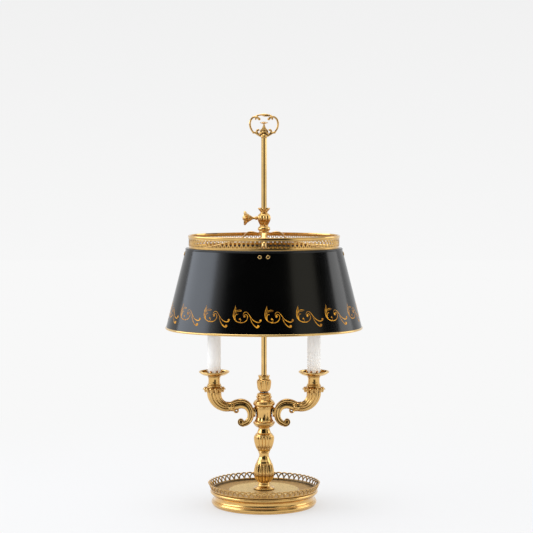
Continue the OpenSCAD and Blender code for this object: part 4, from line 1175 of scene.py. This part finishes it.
def scroll_motif():
    """One acanthus scroll of the border: leaves, a C-curl round a bud, and a stem
    that parts into two budded tails. x from 0 to 49, z from 0 to 36."""
    return joined(
        # back of the curl, from the tall leaf's tip round to the spiral
        stroke([(4.4, 36.2), (3.4, 32.0), (1.7, 27.4), (1.1, 21.8), (2.0, 17.2),
                (4.9, 13.2), (9.2, 10.5), (14.2, 9.5), (19.3, 10.0), (23.2, 12.4),
                (25.3, 15.8), (25.5, 19.4), (24.1, 21.9), (21.8, 22.6), (20.0, 21.4)],
               [0.4, 2.2, 2.4, 2.1, 2.1, 2.0, 2.0, 1.9, 1.9, 1.7, 1.5, 1.4, 1.4, 1.5,
                1.6]),
        dot(20.2, 19.6, 1.9),
        # inner strand of the back, up into the tall leaf
        stroke([(5.0, 13.9), (3.3, 17.8), (3.0, 22.0), (3.6, 26.4), (4.9, 30.4),
                (4.9, 34.2)],
               [0.5, 1.3, 1.5, 1.6, 1.5, 0.4]),
        # leaf that points right, with its midrib left dark
        stroke([(3.4, 23.4), (5.2, 27.2), (8.4, 29.2), (12.2, 29.4), (15.4, 28.3)],
               [0.5, 1.3, 1.7, 1.7, 0.4]),
        stroke([(4.2, 22.8), (6.4, 26.2), (9.4, 27.3), (12.6, 27.5), (15.2, 28.0)],
               [0.4, 0.9, 1.2, 1.1, 0.4]),
        # small inner leaf
        stroke([(5.4, 13.6), (4.5, 17.4), (5.0, 20.6), (7.0, 22.8), (9.2, 22.4)],
               [0.5, 1.5, 1.9, 1.9, 0.6]),
        # bud inside the curl
        stroke([(13.0, 10.0), (14.3, 12.4), (14.3, 14.6), (13.0, 15.8)],
               [0.8, 0.8, 0.8, 1.2]),
        dot(12.6, 15.2, 1.45),
        # stem over the spiral, and its two tails
        stroke([(18.4, 20.4), (18.2, 23.2), (19.6, 25.6), (22.0, 26.4), (24.6, 25.6),
                (27.4, 22.8), (30.6, 18.4), (34.0, 14.6), (38.2, 11.6), (42.6, 10.2),
                (46.2, 10.8), (47.6, 12.6)],
               [0.9, 1.1, 1.2, 1.3, 1.5, 1.7, 1.8, 1.8, 1.9, 2.1, 2.4, 2.2]),
        dot(47.3, 13.1, 1.9),
        stroke([(29.8, 17.4), (31.2, 13.8), (33.0, 10.0), (35.8, 6.2), (39.2, 3.2),
                (42.0, 1.9), (43.8, 2.6)],
               [0.5, 1.1, 1.4, 1.6, 2.0, 2.4, 2.4]),
        dot(43.4, 3.7, 2.1))


def gold_border():
    """Gold scroll border painted round the shade."""
    out = (SHADE_TOP - BORDER_Z) * LEAN
    arcs = (END_R + out) * END_TURN + (SIDE_R + out) * (math.pi / 2 - END_TURN)
    return wrapped("gold_scroll_border", scroll_motif(),
                   oval_line(out, BORDER_Z, 0.6), BORDER_MOTIFS,
                   4 * arcs / BORDER_MOTIFS, -LEAN, border_paint)


def gallery_rim():
    """Flat-faced rim folded over the top of the pierced gallery."""
    out, z = -GALLERY_IN - 0.6, GALLERY_TOP + 0.9
    outline = ([(out - 1.3, z - 6.3), (out + 1.0, z - 6.3)]
               + smooth([(out + 1.3, z - 6.0), (out + 1.35, z - 5.3),
                         (out + 1.05, z - 4.9)], 3)
               + smooth([(out + 1.4, z - 4.5), (out + 1.8, z - 2.6), (out + 1.6, z - 0.8),
                         (out + 0.9, z - 0.05)], 3)
               + smooth([(out - 0.9, z), (out - 1.6, z - 0.8), (out - 1.7, z - 5.6)], 3))
    return oval_solid(outline)


def gallery_strip():
    """Foot strip that the lattice stands on, with a thin bead at the lip."""
    return oval_solid(raised(
        [(-2.2 - GALLERY_IN, 0.02), (0.5 - GALLERY_IN, 0.02), (0.6 - GALLERY_IN, 0.5),
         (0.3 - GALLERY_IN, 0.95), (-0.5 - GALLERY_IN, 1.1), (-0.6 - GALLERY_IN, 2.6),
         (-1.2 - GALLERY_IN, 2.6), (-1.4 - GALLERY_IN, 1.2), (-2.2 - GALLERY_IN, 1.0)],
        SHADE_TOP), 360)


def rivet_places():
    """Place and outward turn of each of the spider's eight rivets."""
    lean = math.atan(LEAN)
    for k in range(4):
        reach = SHADE_A if k % 2 == 0 else SHADE_B
        for side in (-1, 1):
            yield (at(turn=90 * k) @ at(reach, side * RIVET_SIDE, SHADE_TOP)
                   @ Matrix.Rotation(math.pi / 2 - lean, 4, "Y") @ at(RIVET_DROP))


def rivets():
    """Hollow brass rivets, rolled over outside, open through the middle."""
    rim = smooth([(3.1, 0.75), (2.6, 1.0), (2.1, 0.8), (1.7, 0.1)], 3)
    outline = [(1.6, -3.0), (1.7, -3.0), (1.7, 0.05), (3.1, 0.05), (3.25, 0.35)] + rim
    return joined(*[moved(turned(outline, 28), place) for place in rivet_places()])


def spider():
    """Four straps with domed backs that rise from the hub, arch over and run down
    to tabs on the shade's wall."""
    lean = math.atan(LEAN)
    back = (4, 3.6, 2.8, 1.5, 0, -1.5, -2.8, -3.6, -4)
    section = [(1.2, -4), (1.2, 4)]
    section += [(-0.2 - 1.2 * math.sqrt(1 - (v / 4.1) ** 2), v) for v in back]
    parts = []
    for k in range(4):
        reach = SHADE_A - 1.87 if k % 2 == 0 else SHADE_B - 1.44
        path = raised(smooth([
            (9.0, 23.75), (13.5, 25.15), (21, 26.6), (29, 24.55), (39, 15.75),
            (0.5 * reach + 14, 4), (reach - 12, -3), (reach - 3.7, -5.5),
            (reach + 0.18, -9), (reach + 2.02, -15)], 4), SHADE_TOP)
        strap = swept([(x, 0, z) for x, z in path], lambda i, t: section)
        tab = [(x, y, z) for x in (-2, 0) for y in (-10.7, 10.7) for z in (-16, -4)]
        sides = [(0, 1, 3, 2), (4, 6, 7, 5), (0, 4, 5, 1), (2, 3, 7, 6), (0, 2, 6, 4),
                 (1, 5, 7, 3)]
        plate = moved((tab, sides), at(reach, 0, SHADE_TOP, math.degrees(-lean), "Y"))
        parts.append(moved(joined(strap, plate), at(turn=90 * k)))
    return joined(*parts)


# ---- Collar and thumbscrew ----

def collar():
    """Turned sliding collar: a gadrooned baluster under a lobed lip."""
    outline = raised(
        [(ROD_R + 0.1, -5.9), (6.3, -5.9), (6.3, 0), (8.1, 0), (8.4, 0.5), (8.4, 1.5),
         (8.0, 2.1)]
        + smooth([(8.4, 2.4), (9.8, 3.4), (10.5, 5.4), (9.9, 7.8), (8.4, 9.4)], 4)
        + [(7.4, 9.9)] + smooth([(7.0, 11.0), (7.5, 13.0), (8.9, 15.9), (10.4, 19.0),
                                 (11.2, 22.2), (11.3, 24.6), (10.7, 27.2), (9.0, 29.8),
                                 (7.0, 31.6)], 5)
        + [(6.2, 32.2)] + smooth([(6.0, 33.0), (6.6, 34.6), (8.0, 36.5), (9.5, 38.2),
                                  (10.1, 39.2)], 3)
        + smooth([(10.3, 40.0), (9.9, 40.9), (9.2, 41)], 3)
        + [(ROD_R + 0.1, 40.6)], COLLAR_Z)
    low, high = COLLAR_Z + 33.5, COLLAR_Z + 40.8
    shape = turned(outline, 160, lambda r, z, a: r * (
        1 - 0.11 * dent(a, 8) * (low < z < high and r > 7)))
    piece = mesh_of("sliding_collar", shape, cast_brass)
    return through_nodes(piece, REEDING, Count=10, Depth=1.3 * MM,
                         Low=(COLLAR_Z + 10.6) * MM, High=(COLLAR_Z + 32) * MM,
                         Fade=5 * MM, Inside=6 * MM, Start=math.radians(-8),
                         Material=cast_brass)


def thumbscrew_shape():
    """Thistle-headed screw, drawn upright and laid along -X."""
    tip = ROD_R + 0.2
    neck = 11.4 - tip
    end = 36.2 - tip
    plain_part = turned(
        [(0, 0), (2.3, 0), (2.5, 0.4), (2.5, neck)]
        + smooth([(2.9, neck + 0.4), (3.3, neck + 1.4), (3.1, neck + 2.6),
                  (2.4, neck + 3.4)], 3)
        + smooth([(2.1, neck + 4.4), (2.0, neck + 6), (2.4, end - 16.6)], 3)
        + [(0, end - 16.6)], 40)
    ribs = 8
    head = turned(
        [(0, end - 17)] + smooth([(2.4, end - 17), (3.6, end - 15), (5.2, end - 12.8)], 3)
        + [(5.0, end - 12.4)] + smooth([(6.4, end - 11), (7.4, end - 9.2)], 3)
        + [(7.1, end - 8.9)]
        + smooth([(9.0, end - 7.6), (10.7, end - 6.2), (11.9, end - 5.0)], 3)
        + [(12.1, end - 3.6), (11.4, end - 2.5), (10.2, end - 2.2), (7, end - 2.9),
           (3.5, end - 3.0)]
        + smooth([(3.4, end - 1.8), (3.0, end - 0.7), (1.6, end - 0.1)], 3) + [(0, end)],
        ribs * 14,
        lambda r, z, a: r * (1 - 0.1 * dent(a, ribs) * (end - 16 < z < end - 2.4)))
    return moved(joined(plain_part, head), at(-tip, 0, SCREW_Z, -90, "Y"))


# ---- Ring handle ----

def loop(points, radii, sides=12, flat=1.0):
    """Wire through (x, z) points."""
    return wire(smooth([(x, 0, z) for x, z in points], 5), radii, sides, flat)


def ring_handle():
    """Cast ring handle: two bowed sides between leaf scrolls and a leafy top, round
    a pierced baluster with a flat flower cap. Drawn from the rod's end up."""
    stem = turned(
        [(0, -1.2), (1.9, -1.2), (1.9, 0), (4.7, 0)]
        + smooth([(5.2, 0.6), (6.2, 2.2), (6.0, 3.8), (5.0, 5.4)], 3)
        + smooth([(3.6, 7), (2.4, 10), (2.3, 13), (3.4, 15.6), (2.8, 17.6), (1.9, 19.8),
                  (1.4, 21.6), (1.5, 22.6)], 4)
        + smooth([(2.6, 23.1), (5.4, 24.0), (7.4, 24.9)], 3)
        + smooth([(6.8, 25.4), (4.0, 26.2), (1.8, 26.9)], 3)
        + [(0, 27.2)], 64,
        lambda r, z, a: r * (1 - 0.16 * dent(a, 8) * (22.9 < z < 25.6)))
    # collar of the pierced baluster, and the wave of leaf over the rod's end
    eye = [(2.9 * math.cos(a), -1.6, 13.2 + 3.2 * math.sin(a))
           for a in [TAU * i / 24 for i in range(24)]]
    parts = [stem, wire(eye, 1.35, 10, closed=True),
             wire([(x, -y, h) for x, y, h in eye], 1.35, 10, closed=True)]
    for y in (-3.6, 3.6):
        wave = smooth([(-7.6, 0.3 * y, 5.2), (-4.6, 0.8 * y, 8.2), (0, y, 9.6),
                       (4.6, 0.8 * y, 8.2), (7.6, 0.3 * y, 5.2)], 5)
        parts.append(wire(wave, [1.2, 1.7, 1.9, 1.7, 1.2], 12))
    for s in (1, -1):
        side = scaled(s, 1, 1)
        parts += [moved(shape, side) for shape in (
            # bowed side, from the lower knob up to the scroll it ends in
            loop([(17.6, 8.9), (19.9, 11.8), (22.2, 16.1), (23.3, 21), (23.3, 25.3),
                  (21.8, 30.0), (18.9, 33.3), (16.0, 34.8), (13.2, 34.9), (10.9, 33.6),
                  (8.6, 31.8)],
                 [1.6, 1.5, 1.7, 1.7, 1.7, 1.7, 1.7, 1.6, 1.6, 1.9, 2.0], 14),
            ball(2.3, (8.0, 0, 31.2), (1.05, 1, 1), 16),
            ball(1.7, (13.9, 0, 31.6), (0.9, 1, 1.25), 14),
            ball(2.5, (12.4, 0, 34.6), (1.1, 1.15, 0.95), 16),
            ball(1.5, (11.4, 0, 36.9), (1.1, 1.1, 1), 12),
            loop([(12.6, 35.0), (11.0, 36.6), (8.6, 37.7), (6.0, 38.2)],
                 [1.4, 1.3, 1.3, 1.3]),
            # leaf scroll beside the baluster
            loop([(17.7, 8.9), (14.6, 8.2), (11.2, 6.6), (7.6, 4.4), (4.4, 2.4)],
                 [1.7, 1.7, 2.1, 2.2, 1.7], 14),
            ball(2.1, (17.7, 0, 8.9), (1, 1.05, 1), 16),
            loop([(10.4, 7.0), (12.0, 9.4), (11.6, 12.0), (9.4, 13.2), (8.2, 11.8)],
                 [2.0, 1.8, 1.8, 1.7, 1.3], 12),
            loop([(7.0, 5.2), (5.9, 8.2), (5.4, 11.2), (3.4, 14.6)],
                 [1.7, 1.6, 1.5, 1.2], 12))]
    # leaf wrapped on the ring's top
    parts.append(loop([(-7.4, 37.8), (-4.4, 38.3), (-1.6, 38.2), (1.2, 37.7), (4.2, 37.5),
                       (7.0, 37.2), (9.4, 36.4)],
                      [1.2, 1.4, 2.2, 2.5, 2.4, 2.0, 1.2], 16))
    return moved(joined(*parts), at(0, 0, ROD_TOP))


# ---- Building the lamp ----

def dress(material, *nodes):
    """Gives CAD nodes that stay visible their finish."""
    for name in nodes:
        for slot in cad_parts[name].material_slots:
            slot.material = material


def build_foot():
    """Foot, tray and gallery."""
    placed(foot(), "stand", "cast_brass", "foot_casting")
    placed(tray_disc(), "stand", "cast_brass", "tray_plate")
    placed(tray_floor(), "stand", "cast_brass")
    placed(foot_gallery(), "stand", "bright_brass", "foot_gallery")
    dress(felt, "foot_felt")
    dress(phenolic, "cord_bushing")


def build_column():
    """The column, the rod and its handle."""
    placed(foot_vase(), "stand", "cast_brass", "foot_vase")
    placed(knop_ring(), "stand", "bright_brass", "knop_ring")
    placed(middle_vase(), "stand", "cast_brass", "middle_vase")
    placed(hub(), "stand", "cast_brass", "arm_hub")
    placed(top_vase(), "stand", "cast_brass", "top_vase")
    placed(rod(), "stand", "bright_brass", "rod")
    placed(mesh_of("ring_handle_cast", ring_handle(), cast_brass), "stand",
           "bright_brass", "ring_handle")
    dress(zinc, "stem_pipe", "stem_washer", "stem_nut", "rod_coupling")


def build_side(side):
    """One arm and its candle; the left one is the right one turned round."""
    half_turn = at(turn=180 if side == "left" else 0)
    candle = half_turn @ at(CANDLE_X)
    fittings = (
        ("arm", half_turn, arm_parts(), cast_brass, "cast_brass", ("arm_",)),
        ("hub_pad", half_turn, hub_pad(), cast_brass, "cast_brass", ()),
        ("leaf_ring", candle, leaf_ring(), cast_brass, "bright_brass", ("leaf_ring_",)),
        ("candle_cup", candle, candle_cup(), cast_brass, "cast_brass", ("candle_cup_",)),
        ("drip_pan", candle, drip_pan(), bright_brass, "bright_brass", ("drip_pan_",)),
        ("sleeve_crown", candle, sleeve_crown(), cast_brass, "cast_brass", ()),
        ("candle_sleeve", candle, candle_sleeve(), sleeve_card, "ivory_sleeve",
         ("candle_sleeve_",)),
        ("bulb_glass", candle, bulb_glass(), glass, "bulb_glass", ("bulb_",)),
        ("bulb_filament", candle, bulb_filament(), tungsten, "plated_steel", ()),
        ("bulb_cap", candle, bulb_cap(), nickel, "bright_brass", ("bulb_cap_",)))
    for name, place, shape, material, slot, nodes in fittings:
        piece = mesh_of(f"{name}_detail_{side}", moved(shape, place), material)
        placed(piece, "stand", slot, *[n + side for n in nodes])
    dress(zinc, "arm_screw_" + side, "nipple_" + side)
    dress(phenolic, "socket_" + side)
    dress(bright_brass, "socket_shell_" + side)


def build_shade():
    """The shade, with all that turns with it."""
    placed(shade_shell(), "shade", "black_tole", "shade_body")
    placed(shade_rim(), "shade", "bright_brass", "shade_bead")
    placed(gold_border(), "shade", "bright_brass")
    placed(shade_lining(), "shade", "bright_brass")
    for name, shape, material, slot, node in (
            ("gallery_top_rim", gallery_rim(), stamped_brass, "bright_brass",
             "gallery_roll"),
            ("gallery_foot_strip", gallery_strip(), stamped_brass, "bright_brass",
             "gallery_foot"),
            ("hollow_rivets", rivets(), bright_brass, "bright_brass", "spider_rivets"),
            ("spider_straps", spider(), cast_brass, "cast_brass", "spider")):
        placed(mesh_of(name, shape, material), "shade", slot, node)
    dress(cast_brass, "spider_hub")
    dress(stamped_brass, "shade_gallery")


def build_collar():
    """The collar that slides, and its clamping screw."""
    placed(collar(), "collar", "cast_brass", "slider_collar")
    dress(cast_brass, "spider_clip")
    placed(mesh_of("thistle_thumbscrew", thumbscrew_shape(), cast_brass), "thumbscrew",
           "cast_brass", "thumbscrew")


# ---- Floor, light and camera ----

HORIZON = "#F7F7F7"
CEILING = "#F1F1F1"
FLOOR_SIZE = 6000  # millimetres from the middle to each edge

# focal length in pixels of a frame so many pixels wide
FOCAL_PX = 1803
FRAME_PX = 533
SENSOR = 36.0  # millimetres
CAMERA_AT = (0.0042, -3.020, 0.624)  # metres
CAMERA_DOWN = 4.16  # degrees

# name, place and aim in metres, width, height, watts, colour
LIGHTS = (
    ("key_left", (-2.58, -0.3, 1.25), (0, 0, 0.3), 2.6, 1.1, 29, "#E6F0FF"),
    ("fill_right", (1.85, -1.85, 1.3), (0, 0, 0.3), 1.3, 2.6, 5.6, "#FFFAE6"),
    ("side_right", (2.56, 0.38, 1.1), (0, 0, 0.3), 1.6, 1.2, 9, "#FFFFFF"),
    ("top", (-0.3, 0.2, 2.2), (0, 0, 0.2), 1.6, 1.2, 16, "#FFFFFF"))


def seen_or_mirrored(tree, seen, lit, mirrored):
    """One shader for camera and transmission rays, one for diffuse light and one
    for reflections."""
    rays = add(tree, "ShaderNodeLightPath").outputs
    shiny = add(tree, MIX_SHADER, {0: rays["Is Glossy Ray"], 1: lit, 2: mirrored})
    direct = add(tree, MATH, {0: rays["Is Camera Ray"], 1: rays["Is Transmission Ray"]},
                 operation="MAXIMUM")
    return add(tree, MIX_SHADER, {0: direct, 1: shiny, 2: seen})


def stage_floor():
    """Pale floor that keeps the lamp's soft shadow and runs out into the
    backdrop's own colour. In reflections it is dark along a narrow way to the
    front, where the studio is."""
    material, tree, shader = new_material("pale_floor_paint")
    feed(tree, shader, {"Base Color": linear("#D2D2D3"), "Roughness": 0.6})
    place = add(tree, COORDS).outputs["Object"]
    away = add(tree, VECTOR_MATH, {0: place}, operation="LENGTH").outputs["Value"]
    near = add(tree, RANGE, {"Value": away, "From Min": 0.15, "From Max": 1.1,
                             "To Min": 0.42, "To Max": 0.0}, interpolation_type=SMOOTH)
    glow = add(tree, EMISSION, {"Color": linear("#F8F8F8"), "Strength": 1.0})
    blend = add(tree, MIX_SHADER, {0: near, 1: glow, 2: shader})
    # share of a place's distance that lies along the way, which bears 14.5
    # degrees to the right
    x, y, _ = add(tree, SPLIT, {0: place}).outputs
    forward = add(tree, MATH, {0: y, 1: -0.968}, operation="MULTIPLY")
    along = add(tree, MATH, {0: x, 1: 0.25, 2: forward}, operation="MULTIPLY_ADD")
    ahead = add(tree, MATH, {0: along, 1: away}, operation="DIVIDE")
    narrow = add(tree, RANGE, {"Value": ahead, "From Min": 0.9, "From Max": 0.97},
                 interpolation_type=SMOOTH)
    far = add(tree, RANGE, {"Value": away, "From Min": 0.4, "From Max": 0.9},
              interpolation_type=SMOOTH)
    shade = add(tree, MATH, {0: narrow, 1: far}, operation="MULTIPLY")
    pale = add(tree, MATH, {0: 1.0, 1: shade}, operation="SUBTRACT")
    dark = add(tree, EMISSION, {"Color": linear("#35322B"), "Strength": 1.0})
    mirrored = add(tree, MIX_SHADER, {0: pale, 1: dark, 2: blend})
    output = next(n for n in tree.nodes if n.type == "OUTPUT_MATERIAL")
    feed(tree, output, {"Surface": seen_or_mirrored(tree, blend, shader, mirrored)})
    size = FLOOR_SIZE
    shape = ([(-size, -size, 0), (size, -size, 0), (size, size, 0), (-size, size, 0)],
             [(0, 1, 2, 3)])
    mesh_of("floor", shape, material)


def world_light():
    """Studio room: a pale backdrop behind and at the sides, and a dark front
    beyond the camera. The dark part is narrow at the horizon, wide above it and
    gone near the ceiling."""
    world = bpy.data.worlds.new("studio")
    bpy.context.scene.world = world
    world.use_nodes = True
    tree = world.node_tree
    tree.nodes.clear()
    way = add(tree, COORDS).outputs["Generated"]
    x, y, z = add(tree, SPLIT, {0: way}).outputs
    # how far a direction is from the front, which lies a little to the right
    aside = add(tree, MATH, {0: x, 1: 0.315}, operation="MULTIPLY")
    front = add(tree, MATH, {0: y, 1: aside}, operation="SUBTRACT")
    rise = add(tree, RANGE, {"Value": z, "From Min": 0.02, "From Max": 0.3},
               interpolation_type=SMOOTH)
    ceiling = add(tree, RANGE, {"Value": z, "From Min": 0.5, "From Max": 0.78,
                                "To Min": 1.0, "To Max": 0.0},
                  interpolation_type=SMOOTH)
    lift = add(tree, MATH, {0: rise, 1: ceiling}, operation="MULTIPLY")
    # where the dark part ends, how soft its edge is, and how dark it is
    edge = add(tree, MATH, {0: lift, 1: 0.43, 2: -0.95}, operation="MULTIPLY_ADD")
    soft = add(tree, MATH, {0: edge, 1: 0.21}, operation="ADD")
    dim = add(tree, MATH, {0: lift, 1: -0.109, 2: 0.11}, operation="MULTIPLY_ADD")
    bright = add(tree, RANGE, {"Value": front, "From Min": edge, "From Max": soft,
                               "To Min": dim, "To Max": 0.95},
                 interpolation_type=SMOOTH)
    room = add(tree, BACKGROUND, {"Color": linear("#F2F3F4"), "Strength": bright})
    fill = add(tree, BACKGROUND, {"Color": linear("#F4F5F7"), "Strength": 1.2})
    height = add(tree, RANGE, {"Value": z, "From Min": -0.07, "From Max": 0.08})
    paper = add(tree, MIX, {"Factor": height, A: linear(HORIZON), B: linear(CEILING)},
                data_type="RGBA")
    pale = add(tree, BACKGROUND, {"Color": paper.outputs[MIXED], "Strength": 1.0})
    add(tree, "ShaderNodeOutputWorld",
        {"Surface": seen_or_mirrored(tree, pale, fill, room)})


def softbox(name, place, aim, width, height, watts, colour):
    """A rectangular studio light that points at a place, in metres."""
    light = bpy.data.lights.new(name, "AREA")
    light.shape = "RECTANGLE"
    light.size, light.size_y = width, height
    light.energy = watts
    light.color = linear(colour)[:3]
    made = bpy.data.objects.new(name, light)
    bpy.context.scene.collection.objects.link(made)
    turn = (Vector(aim) - Vector(place)).to_track_quat("-Z", "Y")
    made.matrix_world = Matrix.Translation(place) @ turn.to_matrix().to_4x4()


def stage_camera():
    """Long lens at table height plus half a metre, looking slightly down."""
    data = bpy.data.cameras.new("camera")
    data.sensor_width = SENSOR
    data.lens = SENSOR * FOCAL_PX / FRAME_PX
    data.clip_end = 50
    camera = bpy.data.objects.new("camera", data)
    bpy.context.scene.collection.objects.link(camera)
    tilt = Matrix.Rotation(math.radians(90 - CAMERA_DOWN), 4, "X")
    camera.matrix_world = Matrix.Translation(CAMERA_AT) @ tilt
    bpy.context.scene.camera = camera


build_foot()
build_column()
build_side("left")
build_side("right")
build_shade()
build_collar()
stage_floor()
world_light()
for light in LIGHTS:
    softbox(*light)
stage_camera()

view = bpy.context.scene.view_settings
view.view_transform = "Standard"
